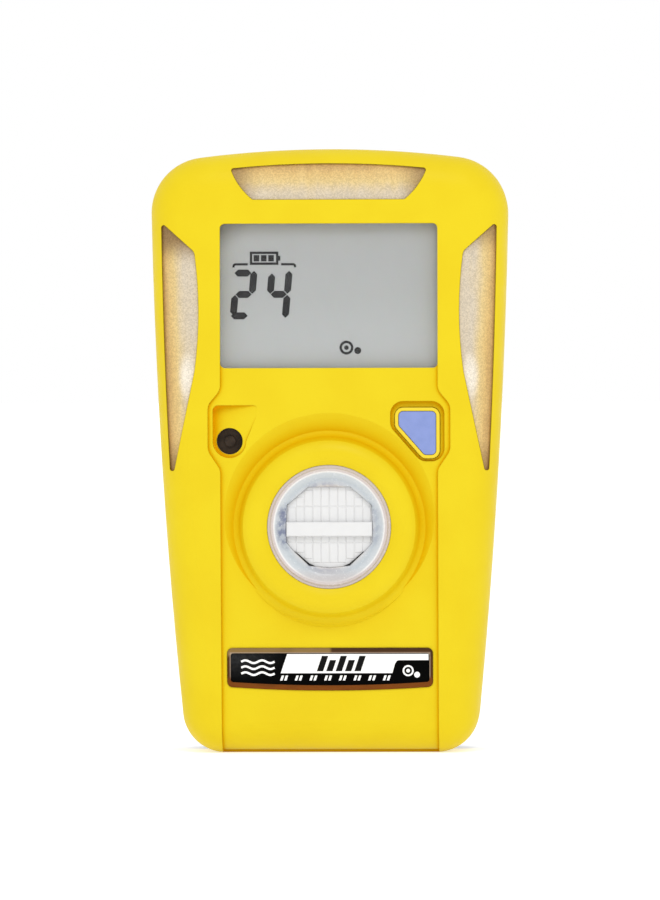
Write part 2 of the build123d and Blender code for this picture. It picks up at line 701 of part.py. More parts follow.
def sensor_cell():
    """The electrochemical cell with its nose and gas inlet."""
    points = [
        (INLET_R, GRILLE_REAR),
        (CELL_NOSE_R, GRILLE_REAR),
        (CELL_NOSE_R, CELL_FRONT),
        (CELL_R, CELL_FRONT),
        (CELL_R, CELL_REAR),
        (0, CELL_REAR),
        (0, GRILLE_REAR + INLET_DEEP),
        (INLET_R, GRILLE_REAR + INLET_DEEP),
    ]
    return turned(points)


def pin_places():
    """Three pins on a circle about the sensor's axis."""
    turns = [radians(angle) for angle in (90, 210, 330)]
    return [(PIN_CIRCLE_R * cos(turn), SENSOR_Z + PIN_CIRCLE_R * sin(turn)) for turn in turns]


def sensor_pins():
    """The cell's three contact pins."""
    pins = [disc(place, SENSOR_PIN_R, CELL_REAR, SENSOR_BOARD[1] + 0.6) for place in pin_places()]
    return Compound([solid for pin in pins for solid in pin.solids()])


def sensor_board():
    """The small round board on the cell's pins, with a tab for the link."""
    front, rear = SENSOR_BOARD
    board = disc((0, SENSOR_Z), CELL_HOLE_R, front, rear)
    reach, half = SENSOR_TAB
    board += block((0, reach), (front, rear), (SENSOR_Z - half, SENSOR_Z + half))
    return board - [disc(place, SENSOR_PIN_R, front, rear) for place in pin_places()]


def board_link():
    """The pin header between the sensor board and the main board."""
    return block(LINK_X, (BOARD_REAR, SENSOR_BOARD[0]), (SENSOR_Z - LINK_HALF, SENSOR_Z + LINK_HALF))


# ---- Sounder ------------------------------------------------------------------------------------
def sounder():
    """The piezo sounder on the board, with a port facing the case hole."""
    body = disc(PORT, SOUNDER_R, SOUNDER_FRONT, BOARD_FRONT)
    return body - disc(PORT, SOUNDER_INLET_R, SOUNDER_FRONT, SOUNDER_FRONT + SOUNDER_INLET_DEEP)


def sounder_boot():
    """The rubber tube from the case to the sounder."""
    front = POCKET_FLOOR + SHELL_IN + 0.15
    return disc(PORT, BOOT_R, front, SOUNDER_FRONT) - disc(PORT, BOOT_BORE_R, front, SOUNDER_FRONT)


def sounder_vent():
    """The black sound-passing membrane behind the port, with a domed middle."""
    vent = disc(PORT, PORT_R + VENT_LEDGE - 0.02, VENT_FRONT, VENT_FRONT + VENT_THICK)
    return vent + disc(PORT, VENT_DOME_R, VENT_FRONT - VENT_DOME_TALL, VENT_FRONT)


# ---- Button -------------------------------------------------------------------------------------
def push_button():
    """The yellow key: rim, stem and a flange behind the case wall."""
    key = slab(button_outline(BUTTON_RIM), BUTTON_FRONT, BUTTON_FLANGE[0])
    key = fillet(key.faces().sort_by(Axis.Y)[0].edges(), 0.2)
    key += slab(button_outline(BUTTON_RIM + FLANGE_WIDE), *BUTTON_FLANGE)
    return key - slab(button_outline(0.0), FRONT_LIMIT, BUTTON_FRONT + BUTTON_FACE_DEEP)


def button_face():
    """The blue face set into the key."""
    face = slab(button_outline(-0.03), BUTTON_FRONT + BUTTON_FACE_SET, BUTTON_FRONT + BUTTON_FACE_DEEP)
    return fillet(face.faces().sort_by(Axis.Y)[0].edges(), 0.15)


def switch_body():
    """The tact switch under the key, with a well for its plunger."""
    x, z = BUTTON_MIDDLE
    half = SWITCH_HALF
    body = block((x - half, x + half), (SWITCH_FRONT, BOARD_FRONT), (z - half, z + half))
    return body - disc(BUTTON_MIDDLE, PLUNGER_R + 0.05, SWITCH_FRONT, BOARD_FRONT - 0.1)


def switch_plunger():
    """The plunger that the key pushes."""
    return disc(BUTTON_MIDDLE, PLUNGER_R, BUTTON_FLANGE[1], BOARD_FRONT - 0.75)


# ---- Rear case ----------------------------------------------------------------------------------
def rear_cover():
    """The hard rear cover with screw posts, a seal groove, clip rails and a label recess."""
    front = PARTING + PARTING_GAP
    inner = REAR - REAR_WALL
    cover = slab(Pos(0, -REAR_SIDE_IN) * outline(REAR_SIDE_IN), front, REAR)
    cover = fillet(cover.faces().sort_by(Axis.Y)[-1].edges(), REAR_EDGE_R)
    hollow = slab(outline(REAR_SIDE_WALL), front, inner)
    hollow = fillet(hollow.faces().sort_by(Axis.Y)[-1].edges(), REAR_EDGE_R - REAR_WALL)
    cover -= hollow
    cover -= seal_ring(front)
    for place in boss_places():
        cover += disc(place, BOSS_R + POST_WALL, front, inner + POST_REACH)
    cover += disc((0, CLIP_SCREW_Z), CLIP_POST_R, 0.0, inner + POST_REACH)
    for place in boss_places():
        cover -= disc(place, SCREW_R + SCREW_PLAY, front, REAR)
        cover -= disc(place, SCREW_HEAD_R + SCREW_PLAY, SCREW_HEAD[0], REAR)
    cover -= disc((0, CLIP_SCREW_Z), CLIP_SCREW_R, CLIP_SCREW_TIP - 0.3, REAR)
    cover += mirrored(block(RAIL_X, RAIL_Y, RAIL_Z))
    return cover - slab(label_patch(REAR_LABEL_PLAY), REAR - REAR_LABEL_DEEP, REAR)


def seal_ring(front):
    """The seal's cross-section ring, from a front depth back to the groove's floor."""
    ring = outline(SEAL_OUT) - outline(SEAL_IN)
    return slab(ring, front, PARTING + SEAL_DEPTH)


def case_seal():
    """The silicone cord squeezed between shell and rear cover."""
    return seal_ring(PARTING - PARTING_GAP)


def label_patch(play=0.0):
    """The rear label's outline above the clip base, larger all round by the play."""
    wide, tall = [size + 2 * play for size in REAR_LABEL_SIZE]
    return Pos(0, REAR_LABEL_Z) * RectangleRounded(wide, tall, REAR_LABEL_CORNER)


def rear_label():
    """The thin rating label in its recess."""
    return slab(label_patch(), REAR - REAR_LABEL_DEEP, REAR - 0.02)


def case_screws():
    """Four small screws from the rear."""
    screws = []
    for place in boss_places():
        screw = disc(place, SCREW_R, SCREW_TIP, SCREW_HEAD[0])
        screw += disc(place, SCREW_HEAD_R, *SCREW_HEAD)
        screw -= slab(hex_socket(place, SOCKET_R), SCREW_HEAD[1] - SOCKET_DEEP, SCREW_HEAD[1])
        screws += screw.solids()
    return Compound(screws)


def hex_socket(place, radius):
    """A hexagonal key socket's outline."""
    return Pos(*place) * RegularPolygon(radius, 6)


def screw_inserts():
    """Four brass inserts in the shell's bosses."""
    rear = PARTING - PARTING_GAP
    inserts = []
    for place in boss_places():
        insert = disc(place, INSERT_R, rear - INSERT_LONG, rear)
        inserts += (insert - disc(place, SCREW_R, rear - INSERT_LONG, rear)).solids()
    return Compound(inserts)


# ---- Spring clip --------------------------------------------------------------------------------
def across(outline_yz, left, right):
    """A Y-Z outline as a prism between two X places."""
    return extrude(Plane.YZ.offset(left) * outline_yz, amount=right - left)


def ear_outline(low, high, radius):
    """A pivot ear's Y-Z outline: round about the pin and spreading to two points on its plate."""
    below = (PIVOT_Y, PIVOT_Z - radius)
    above = (PIVOT_Y, PIVOT_Z + radius)
    return make_face(Polyline(low, below, above, high, close=True)) + Pos(PIVOT_Y, PIVOT_Z) * Circle(radius)


def clip_base():
    """The steel base plate with two ears for the pin and a toothed lower lip."""
    low, high = BASE_BAND
    plan = Pos(0, (low + high) / 2) * RectangleRounded(2 * BASE_HALF, high - low, 1.5)
    base = slab(plan, REAR, REAR + SHEET)
    reach = REAR + SHEET / 2
    ear = ear_outline((reach, BASE_EAR_Z[0]), (reach, BASE_EAR_Z[1]), BASE_EAR_R)
    base += mirrored(across(ear, BASE_HALF - SHEET, BASE_HALF))
    lip = block((-LIP_HALF, LIP_HALF), (REAR + 0.5, REAR + 2.5), (low, low + SHEET))
    base += lip - teeth(REAR + 2.5, low + SHEET / 2)
    base -= rod((PIVOT_Y, PIVOT_Z), PIN_R, -10, 10)
    return base - disc((0, CLIP_SCREW_Z), CLIP_SCREW_R + 0.1, REAR, REAR + SHEET)


def teeth(tip_y, z):
    """Three-sided notches along X that leave a row of teeth at an edge."""
    notch = make_face(Polyline((-0.8, 0.3), (0, -1.1), (0.8, 0.3), close=True))
    starts = [(i - (TOOTH_COUNT - 1) / 2) * TOOTH_PITCH for i in range(TOOTH_COUNT)]
    return [extrude(Plane(origin=(x, tip_y, z - 2)) * notch, amount=4) for x in starts]


def clip_lever():
    """The sprung lever: a bent plate with ears outside the base's, a thumb end and a toothed jaw."""
    inner_ear = BASE_HALF + EAR_PLAY
    outer_ear = inner_ear + SHEET
    line = FilletPolyline(*LEVER_LINE, radius=6)
    plate = across(trace(line, SHEET), -outer_ear, outer_ear)
    right = [(LIP_HALF, 18), (outer_ear, 44), (outer_ear, 80)]
    left = [(-x, z) for x, z in reversed(right)]
    plate = plate & slab(make_face(Polyline(*right, *left, close=True)), 0, 30)
    plate = fillet(plate.edges().filter_by(Axis.Y, tolerance=25).group_by(Axis.Z)[-1], 3.5)
    ear = ear_outline(*LEVER_EAR, LEVER_EAR_R)
    plate += mirrored(across(ear, inner_ear, outer_ear))
    plate -= teeth(LEVER_LINE[0][0] - 0.2, LEVER_LINE[0][1])
    plate -= rod((PIVOT_Y, PIVOT_Z), PIN_R + PIN_PLAY, -12, 12)
    return plate - lanyard_hole()


def lanyard_hole():
    """The round hole through the thumb end, square to the sheet there."""
    (low_y, low_z), (high_y, high_z) = LEVER_LINE[-2:]
    along = (LANYARD_Z - low_z) / (high_z - low_z)
    middle = (0, low_y + along * (high_y - low_y), LANYARD_Z)
    normal = (0, high_z - low_z, low_y - high_y)
    face = Plane(origin=middle, x_dir=(1, 0, 0), z_dir=normal) * Circle(LANYARD_R)
    return extrude(face, amount=2, both=True)


def clip_pin():
    """The pivot pin with a head at each end."""
    head = BASE_HALF + EAR_PLAY + SHEET + 0.1
    pin = rod((PIVOT_Y, PIVOT_Z), PIN_R, -head, head)
    return pin + mirrored(rod((PIVOT_Y, PIVOT_Z), PIN_HEAD_R, head, head + 0.6))


def leave_angle(end, side):
    """The angle about the pin, in degrees, at which a straight leg to a Y-Z end leaves the coil."""
    y = end[0] - PIVOT_Y
    z = end[1] - PIVOT_Z
    return degrees(atan2(z, y) + side * acos(COIL_R / hypot(y, z)))


def spring_leg(x, angle, end):
    """The straight wire from the coil's rim to a Y-Z end."""
    y = PIVOT_Y + COIL_R * cos(radians(angle))
    z = PIVOT_Z + COIL_R * sin(radians(angle))
    along = Vector(0, end[0] - y, end[1] - z)
    return extrude(Plane(origin=(x, y, z), z_dir=along) * Circle(WIRE_R), amount=along.length)


def clip_spring():
    """The torsion spring: a left-hand coil round the pin, with legs under the lever and on the base."""
    start = leave_angle(LEVER_LEG_END, -1)
    finish = leave_angle(BASE_LEG_END, 1) - 360 * COIL_TURNS
    pitch = 2 * COIL_HALF * 360 / (start - finish)
    first = (-COIL_HALF, PIVOT_Y, PIVOT_Z)
    coil = Helix(pitch, 2 * COIL_HALF, COIL_R, center=first, direction=(1, 0, 0), lefthand=True)
    coil = coil.rotate(Axis(first, (1, 0, 0)), start - 90)
    wound = sweep(Plane(origin=coil @ 0, z_dir=coil % 0) * Circle(WIRE_R), path=coil, is_frenet=True)
    wound += spring_leg(-COIL_HALF, start, LEVER_LEG_END)
    return wound + spring_leg(COIL_HALF, finish, BASE_LEG_END)


def clip_screw():
    """The screw that holds the clip to the rear cover."""
    head = REAR + SHEET
    place = (0, CLIP_SCREW_Z)
    screw = disc(place, CLIP_SCREW_R, CLIP_SCREW_TIP, head)
    screw += disc(place, CLIP_HEAD_R, head, head + CLIP_HEAD_TALL)
    return screw - slab(hex_socket(place, CLIP_HEAD_R / 2), head + CLIP_SOCKET_FLOOR, head + CLIP_HEAD_TALL)


NODES = {
    function.__name__: function
    for function in (
        front_overmould,
        front_shell,
        label_bezel,
        front_label,
        display_window,
        display_glass,
        display_backlight,
        display_connectors,
        display_frame,
        main_board,
        board_components,
        alarm_leds,
        battery,
        battery_tabs,
        battery_pad,
        vibration_motor,
        motor_shaft,
        motor_weight,
        motor_cradle,
        sensor_grille,
        sensor_filter,
        sensor_gasket,
        sensor_cell,
        sensor_pins,
        sensor_board,
        board_link,
        sounder,
        sounder_boot,
        sounder_vent,
        push_button,
        button_face,
        switch_body,
        switch_plunger,
        rear_cover,
        case_seal,
        rear_label,
        case_screws,
        screw_inserts,
        clip_base,
        clip_lever,
        clip_pin,
        clip_spring,
        clip_screw,
    )
}

os.makedirs("parts", exist_ok=True)
for name, make in NODES.items():
    export_step(make(), f"parts/{name}.step")
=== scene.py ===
"""A clip-on single-gas detector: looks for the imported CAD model, in metres.

The CAD nodes keep their shapes and get node materials. Printed and moulded detail that the CAD model
leaves out is built here as thin solids: display segments, label print, sensor cap, filter lattice and
the clip's coil spring.
"""
from math import acos, atan2, cos, hypot, pi, radians, sin, tan

import bpy
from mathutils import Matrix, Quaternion, Vector
from mathutils.bvhtree import BVHTree
from mathutils.geometry import tessellate_polygon
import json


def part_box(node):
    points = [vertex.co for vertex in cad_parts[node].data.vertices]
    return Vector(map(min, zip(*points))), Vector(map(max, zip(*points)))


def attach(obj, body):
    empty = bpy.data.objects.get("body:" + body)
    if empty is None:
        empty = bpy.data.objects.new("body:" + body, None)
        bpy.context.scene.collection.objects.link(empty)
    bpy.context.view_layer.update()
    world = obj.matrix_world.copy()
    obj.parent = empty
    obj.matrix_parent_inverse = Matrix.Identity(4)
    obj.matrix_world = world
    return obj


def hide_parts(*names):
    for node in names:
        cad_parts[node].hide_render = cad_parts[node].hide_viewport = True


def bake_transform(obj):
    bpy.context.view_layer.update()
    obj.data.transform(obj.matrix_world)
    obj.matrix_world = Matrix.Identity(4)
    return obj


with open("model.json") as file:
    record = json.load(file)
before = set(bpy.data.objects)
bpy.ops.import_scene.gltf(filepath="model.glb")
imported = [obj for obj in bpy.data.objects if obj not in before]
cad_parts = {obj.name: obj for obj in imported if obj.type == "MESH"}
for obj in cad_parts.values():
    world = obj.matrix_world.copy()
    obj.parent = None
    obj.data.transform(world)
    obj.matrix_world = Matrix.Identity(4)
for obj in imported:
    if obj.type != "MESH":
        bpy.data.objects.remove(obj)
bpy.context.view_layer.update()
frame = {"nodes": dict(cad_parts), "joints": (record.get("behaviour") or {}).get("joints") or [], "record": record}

MM = 0.001

# ---- Camera and light -----------------------------------------------------------------------------
CAMERA_TURN = 1.75  # degrees round to the right of straight ahead
CAMERA_RISE = 0.6
CAMERA_AWAY = 1.087
LENS = 300.0
AIM = (-0.2 * MM, -8 * MM, 43.6 * MM)
CAMERA_ROLL = 0.15  # degrees that the picture leans to the left
KEY_PLACE = (0.10, -1.0, 1.05)
KEY_SIZE = 0.55
KEY_WATTS = 5.6
SKY_STRENGTH = 1.0


def camera():
    """A long lens nearly straight in front of the case."""
    turn = radians(CAMERA_TURN)
    rise = radians(CAMERA_RISE)
    back = Vector((sin(turn) * cos(rise), -cos(turn) * cos(rise), sin(rise)))
    data = bpy.data.cameras.new("camera")
    data.lens = LENS
    data.sensor_width = 36.0
    data.clip_start = 0.01
    data.clip_end = 50.0
    eye = bpy.data.objects.new("camera", data)
    eye.location = Vector(AIM) + back * CAMERA_AWAY
    upright = (-back).to_track_quat("-Z", "Y")
    eye.rotation_euler = (upright @ Quaternion((0, 0, 1), radians(-CAMERA_ROLL))).to_euler()
    bpy.context.scene.collection.objects.link(eye)
    bpy.context.scene.camera = eye


def lights():
    """A plain white sky and one soft key light above the front."""
    world = bpy.data.worlds.new("studio")
    bpy.context.scene.world = world
    world.use_nodes = True
    sky = world.node_tree.nodes["Background"]
    sky.inputs["Color"].default_value = (1, 1, 1, 1)
    sky.inputs["Strength"].default_value = SKY_STRENGTH
    data = bpy.data.lights.new("key", "AREA")
    data.size = KEY_SIZE
    data.energy = KEY_WATTS
    key = bpy.data.objects.new("key", data)
    key.location = KEY_PLACE
    key.rotation_euler = (Vector(AIM) - Vector(KEY_PLACE)).to_track_quat("-Z", "Y").to_euler()
    bpy.context.scene.collection.objects.link(key)
    bpy.context.scene.view_settings.view_transform = "Standard"


# ---- Materials ------------------------------------------------------------------------------------
class Finish:
    """A node material with one Principled shader, built a node at a time. Lengths in it are millimetres."""

    def __init__(self, name, colour, roughness, **sockets):
        self.material = bpy.data.materials.new(name)
        self.material.use_nodes = True
        self.tree = self.material.node_tree
        self.shader = self.tree.nodes["Principled BSDF"]
        self.set("Base Color", (*colour, 1.0))
        self.set("Roughness", roughness)
        for socket, value in sockets.items():
            self.set(socket.replace("_", " "), value)
        where = self.add("ShaderNodeTexCoord").outputs["Object"]
        self.place = self.add("ShaderNodeVectorMath", [where, (1000.0,) * 3], operation="MULTIPLY").outputs[0]

    def set(self, socket, value):
        """Puts a plain value or another node's output on a socket of the shader."""
        if isinstance(value, bpy.types.NodeSocket):
            self.tree.links.new(value, self.shader.inputs[socket])
        else:
            self.shader.inputs[socket].default_value = value

    def add(self, kind, inputs=(), **settings):
        """A new node with its first inputs set or linked in order; None leaves one alone."""
        node = self.tree.nodes.new(kind)
        for name, value in settings.items():
            setattr(node, name, value)
        for socket, value in zip(node.inputs, inputs):
            if isinstance(value, bpy.types.NodeSocket):
                self.tree.links.new(value, socket)
            elif value is not None:
                socket.default_value = value
        return node

    def math(self, operation, *values):
        """The result of one Math node."""
        return self.add("ShaderNodeMath", values, operation=operation).outputs[0]

    def axis(self, letter):
        """One coordinate of the place."""
        return self.add("ShaderNodeSeparateXYZ", [self.place]).outputs[letter]

    def away(self, x, y, z, stretch=(1, 1, 1)):
        """The distance from a point, with each direction shortened by its stretch."""
        moved = self.add("ShaderNodeVectorMath", [self.place, (x, y, z)], operation="SUBTRACT").outputs[0]
        shorter = tuple(1 / s for s in stretch)
        scaled = self.add("ShaderNodeVectorMath", [moved, shorter], operation="MULTIPLY")
        return self.add("ShaderNodeVectorMath", [scaled.outputs[0]], operation="LENGTH").outputs["Value"]

    def noise(self, grain, detail=2.0, stretch=(1, 1, 1)):
        """Smooth noise from 0 to 1 with lumps about a grain wide, longer along an axis with more stretch."""
        scale = tuple(1 / (grain * s) for s in stretch)
        scaled = self.add("ShaderNodeVectorMath", [self.place, scale], operation="MULTIPLY").outputs[0]
        node = self.add("ShaderNodeTexNoise", [scaled])
        node.inputs["Scale"].default_value = 1.0
        node.inputs["Detail"].default_value = detail
        return node.outputs["Fac"]

    def cells(self, grain, output="Distance"):
        """Voronoi cells about a grain wide."""
        node = self.add("ShaderNodeTexVoronoi", [self.place])
        node.inputs["Scale"].default_value = 1 / grain
        return node.outputs[output]

    def ramp(self, factor, *stops):
        """Colours, or greys given as one number, along a factor: each stop is a position and a value."""
        node = self.add("ShaderNodeValToRGB", [factor])
        band = node.color_ramp
        while len(band.elements) < len(stops):
            band.elements.new(0.5)
        for element, (position, value) in zip(band.elements, stops):
            element.position = position
            colour = value if isinstance(value, tuple) else (value,) * 3
            element.color = (*colour, 1.0)
        return node.outputs["Color"]

    def span(self, value, low, high, first=0.0, last=1.0):
        """The value mapped smoothly from one span to another, and held beyond it."""
        limits = [value, low, high, first, last]
        return self.add("ShaderNodeMapRange", limits, interpolation_type="SMOOTHSTEP").outputs["Result"]

    def mix(self, factor, first, second):
        """The first colour at a factor of 0, the second at 1, and a blend between them."""
        node = self.add("ShaderNodeMix", data_type="RGBA")
        for socket, value in ((0, factor), (6, first), (7, second)):
            if isinstance(value, bpy.types.NodeSocket):
                self.tree.links.new(value, node.inputs[socket])
            else:
                node.inputs[socket].default_value = (*value, 1.0) if isinstance(value, tuple) else value
        return node.outputs[2]

    def hollow(self, reach):
        """How far a place is shut in by the shapes within a reach of it, from 0 in the open to 1."""
        node = self.add("ShaderNodeAmbientOcclusion", samples=8, only_local=True)
        node.inputs["Distance"].default_value = reach * MM
        return self.math("SUBTRACT", 1.0, node.outputs["AO"])

    def relief(self, height, depth, edge=0.0):
        """Bumps of a depth in millimetres, over edges rounded by a radius in millimetres."""
        bump = self.add("ShaderNodeBump")
        bump.inputs["Strength"].default_value = 1.0
        bump.inputs["Distance"].default_value = depth * MM
        self.tree.links.new(height, bump.inputs["Height"])
        if edge:
            rounded = self.add("ShaderNodeBevel", [edge * MM], samples=4)
            self.tree.links.new(rounded.outputs["Normal"], bump.inputs["Normal"])
        self.set("Normal", bump.outputs["Normal"])


YELLOW = (0.678, 0.522, 0.007)
# Painted shade: the rubber's colour in its hollows, and a brighter orange in its deepest hollows.
YELLOW_PAINTED_SHADE = (0.640, 0.342, 0.0005)
YELLOW_PAINTED_DEEP_SHADE = (0.900, 0.460, 0.0005)
KEY_YELLOW = (0.740, 0.570, 0.040)


def yellow_rubber(name, grain=0.22, rough=0.46, colour=YELLOW):
    """Satin elastomer: a fine moulded grain and faint clouding, with painted shade in its hollows: warmer and
    duller where they are shut in, a brighter orange in the deepest, and less shine there.
    """
    finish = Finish(name, colour, rough, Specular_IOR_Level=0.14)
    deeper = tuple(c * ratio for c, ratio in zip(colour, (0.98, 0.96, 0.8)))
    clouds = finish.mix(finish.span(finish.noise(9.0, 3.0), 0.35, 0.65), deeper, colour)
    hollow = finish.hollow(5.0)
    # Painted shade: the colour turns a duller, warmer orange where the rubber is shut in, and its shine drops
    # there.
    shaded = finish.mix(finish.span(hollow, 0.45, 0.75), YELLOW_PAINTED_SHADE, YELLOW_PAINTED_DEEP_SHADE)
    finish.set("Base Color", finish.mix(finish.span(hollow, 0.02, 0.48), clouds, shaded))
    finish.set("Specular IOR Level", finish.span(hollow, 0.02, 0.30, 0.14, 0.0))
    polish = finish.noise(5.0, 4.0)
    finish.set("Roughness", finish.span(polish, 0.3, 0.7, rough - 0.05, rough + 0.07))
    finish.relief(finish.noise(grain, 3.0), 0.008, 0.18)
    return finish.material


WINDOW_LEAN = 0.0417  # how far the side windows' outer edges lean out, for each unit of height
WINDOW_INNER = 17.6  # from the middle to the side windows' inner and outer edges, less that lean
WINDOW_OUTER = 21.2
TOP_WINDOW_LOW = 79.8
TOP_WINDOW_HIGH = 84.9
# Window colours: pale pearl on the inner side and tan towards the outer edge are painted reflection and painted
# shade.
PEARL = (0.540, 0.465, 0.355)
PEARL_WARM = (0.610, 0.460, 0.210)
TAN = (0.590, 0.405, 0.155)
TAN_DEEP = (0.480, 0.300, 0.110)
# The colour of the painted shadow at the windows' ends and corners.
PAINTED_SHADOW_BROWN = (0.235, 0.145, 0.060)
# The height of the painted highlight on each side window.
PAINTED_HIGHLIGHT_Z = 54.3


def window_plastic(name):
    """Frosted plastic over a lamp, with painted light: painted reflection pale on the inner side and painted shade
    in tan towards the outer edges, painted shadow in brown-grey at the side windows' ends and the top window's
    corners, and a painted highlight on each side window.
    """
    finish = Finish(name, (0.7, 0.6, 0.5), 0.42, Specular_IOR_Level=0.18)
    height = finish.axis("Z")
    across = finish.math("ABSOLUTE", finish.axis("X"))
    side = finish.math("SUBTRACT", across, finish.math("MULTIPLY", height, WINDOW_LEAN))
    side = finish.span(side, WINDOW_INNER, WINDOW_OUTER)
    top = finish.span(height, TOP_WINDOW_LOW, TOP_WINDOW_HIGH)
    is_top = finish.span(height, TOP_WINDOW_LOW - 1.2, TOP_WINDOW_LOW - 0.8)
    is_side = finish.math("SUBTRACT", 1.0, is_top)
    rim = finish.math("ADD", finish.math("MULTIPLY", top, is_top), finish.math("MULTIPLY", side, is_side))
    streaks = finish.noise(1.1, 3.0, (1, 1, 5))
    rim = finish.math("ADD", rim, finish.math("MULTIPLY", finish.math("SUBTRACT", streaks, 0.5), 0.30))
    # Painted reflection and painted shade: pearl on the inner side, turning tan towards the side windows' outer
    # edges and the top window's upper edge, with random streaks.
    body = finish.ramp(rim, (0.0, PEARL), (0.45, PEARL_WARM), (0.80, TAN), (1.0, TAN_DEEP))
    # Painted shadow: dark brown-grey at the side windows' top and bottom ends and at the top window's corners.
    higher = finish.math("ADD", height, finish.span(finish.axis("X"), -5.0, 5.0, 1.5, 0.0))
    ends = finish.math("MAXIMUM", finish.span(higher, 71.5, 76.0), finish.span(height, 46.0, 40.0))
    ends = finish.math("MULTIPLY", finish.math("MULTIPLY", ends, is_side), left_more(finish))
    corner = finish.math("MULTIPLY", finish.math("MULTIPLY", finish.span(across, 9.5, 13.6), is_top), 0.74)
    body = finish.mix(finish.math("MAXIMUM", ends, corner), body, PAINTED_SHADOW_BROWN)
    # Painted highlight: a pale spot on each side window, beside its lamp.
    painted_highlight = finish.math("MULTIPLY", finish.span(painted_highlight_distance(finish), 1.0, 0.25), 0.80)
    body = finish.mix(painted_highlight, body, (0.76, 0.70, 0.60))
    sparkle = finish.cells(0.16, "Color")
    speck = finish.add("ShaderNodeSeparateColor", [sparkle]).outputs[0]
    speckled = finish.add("ShaderNodeVectorMath", [body], operation="SCALE")
    finish.tree.links.new(finish.span(speck, 0.0, 1.0, 0.85, 1.10), speckled.inputs["Scale"])
    finish.set("Base Color", speckled.outputs[0])
    finish.relief(finish.noise(0.20, 3.0), 0.025, 0.12)
    return finish.material


def left_more(finish):
    """The strength of the painted shadow at the side windows' ends, a little more on the left."""
    return finish.span(finish.axis("X"), -5.0, 5.0, 1.0, 0.85)


def painted_highlight_distance(finish):
    """The distance from the middle of the painted highlight on the nearer side window, placed by its lamp, as a
    share of the highlight's reach.
    """
    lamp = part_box("alarm_leds")[1]
    x = lamp.x / MM - 1.0
    mirrored = finish.add("ShaderNodeVectorMath", [finish.place], operation="ABSOLUTE").outputs[0]
    painted_highlight = (x, 0, PAINTED_HIGHLIGHT_Z)
    moved = finish.add("ShaderNodeVectorMath", [mirrored, painted_highlight], operation="SUBTRACT").outputs[0]
    scale = (1 / 1.6, 0.0, 1 / 4.2)
    scaled = finish.add("ShaderNodeVectorMath", [moved, scale], operation="MULTIPLY").outputs[0]
    return finish.add("ShaderNodeVectorMath", [scaled], operation="LENGTH").outputs["Value"]


def amber_resin(name):
    """Translucent amber: orange-brown at the bottom and dark along its sides, with a tan painted highlight at its
    top left and a pale painted highlight line round the plate's sides and top.
    """
    finish = Finish(name, (0.12, 0.04, 0.006), 0.35, Specular_IOR_Level=0.10)
    low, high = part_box("label_bezel")
    up = finish.span(finish.axis("Z"), low.z / MM, high.z / MM)
    tint = finish.ramp(up, (0.0, (0.17, 0.045, 0.002)), (0.14, (0.15, 0.040, 0.003)),
                       (0.30, (0.07, 0.022, 0.004)), (0.86, (0.07, 0.026, 0.006)),
                       (1.0, (0.055, 0.022, 0.006)))
    across = finish.axis("X")
    # Painted highlight: tan at the top left.
    painted_corner_highlight = finish.math("MULTIPLY", finish.span(across, 0.4, -0.2), finish.span(up, 0.86, 0.95))
    tint = finish.mix(painted_corner_highlight, tint, (0.22, 0.135, 0.045))
    # Painted highlight: a pale line round the plate's sides and top.
    plate_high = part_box("front_label")[1]
    beside = finish.span(finish.math("ABSOLUTE", across), plate_high.x / MM + 0.22, plate_high.x / MM + 0.08)
    above = finish.span(finish.axis("Z"), plate_high.z / MM + 0.20, plate_high.z / MM + 0.06)
    painted_lip_highlight = finish.math("MULTIPLY", beside, finish.math("MULTIPLY", above, finish.span(up, 0.15, 0.30)))
    tint = finish.mix(finish.math("MULTIPLY", painted_lip_highlight, 0.75), tint, (0.36, 0.27, 0.20))
    streak = finish.noise(0.8, 4.0, (4, 1, 1))
    tint = finish.mix(finish.span(streak, 0.4, 0.8, 0.0, 0.30), tint, (0.03, 0.012, 0.002))
    finish.set("Base Color", tint)
    finish.relief(finish.noise(0.6, 3.0), 0.01, 0.15)
    return finish.material


def printed_film(name, colour, gloss=0.18, shine=0.30):
    """Ink under a glossy film with faint orange peel."""
    finish = Finish(name, colour, gloss, Specular_IOR_Level=shine)
    lighter = tuple(min(1.0, c * 1.15 + 0.001) for c in colour)
    finish.set("Base Color", finish.mix(finish.noise(0.5, 4.0), colour, lighter))
    finish.set("Roughness", finish.span(finish.noise(2.5, 3.0), 0.3, 0.7, gloss - 0.05, gloss + 0.08))
    finish.relief(finish.noise(0.7, 2.0), 0.004)
    return finish.material


LABEL_BLACK = (0.0015, 0.0015, 0.0015)
LABEL_GREY = (0.040, 0.040, 0.042)


def label_film(name):
    """Black ink under a film, a little greyer at the top left."""
    finish = Finish(name, LABEL_BLACK, 0.30, Specular_IOR_Level=0.015)
    low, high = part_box("front_label")
    corner = finish.away(low.x / MM, 0, high.z / MM, (9.0, 400.0, 4.5))
    blacks = finish.mix(finish.span(corner, 1.0, 0.0), LABEL_BLACK, LABEL_GREY)
    finish.set("Base Color", finish.mix(finish.noise(0.5, 4.0), blacks, LABEL_BLACK))
    finish.relief(finish.noise(0.7, 2.0), 0.004)
    return finish.material


def clear_pane(name):
    """A thin clear cover, nearly invisible but for faint smears."""
    finish = Finish(name, (0.9, 0.92, 0.92), 0.10, Specular_IOR_Level=0.10)
    smears = finish.noise(6.0, 3.0)
    finish.set("Alpha", finish.span(smears, 0.3, 0.7, 0.01, 0.03))
    finish.set("Roughness", finish.span(smears, 0.3, 0.7, 0.08, 0.14))
    return finish.material


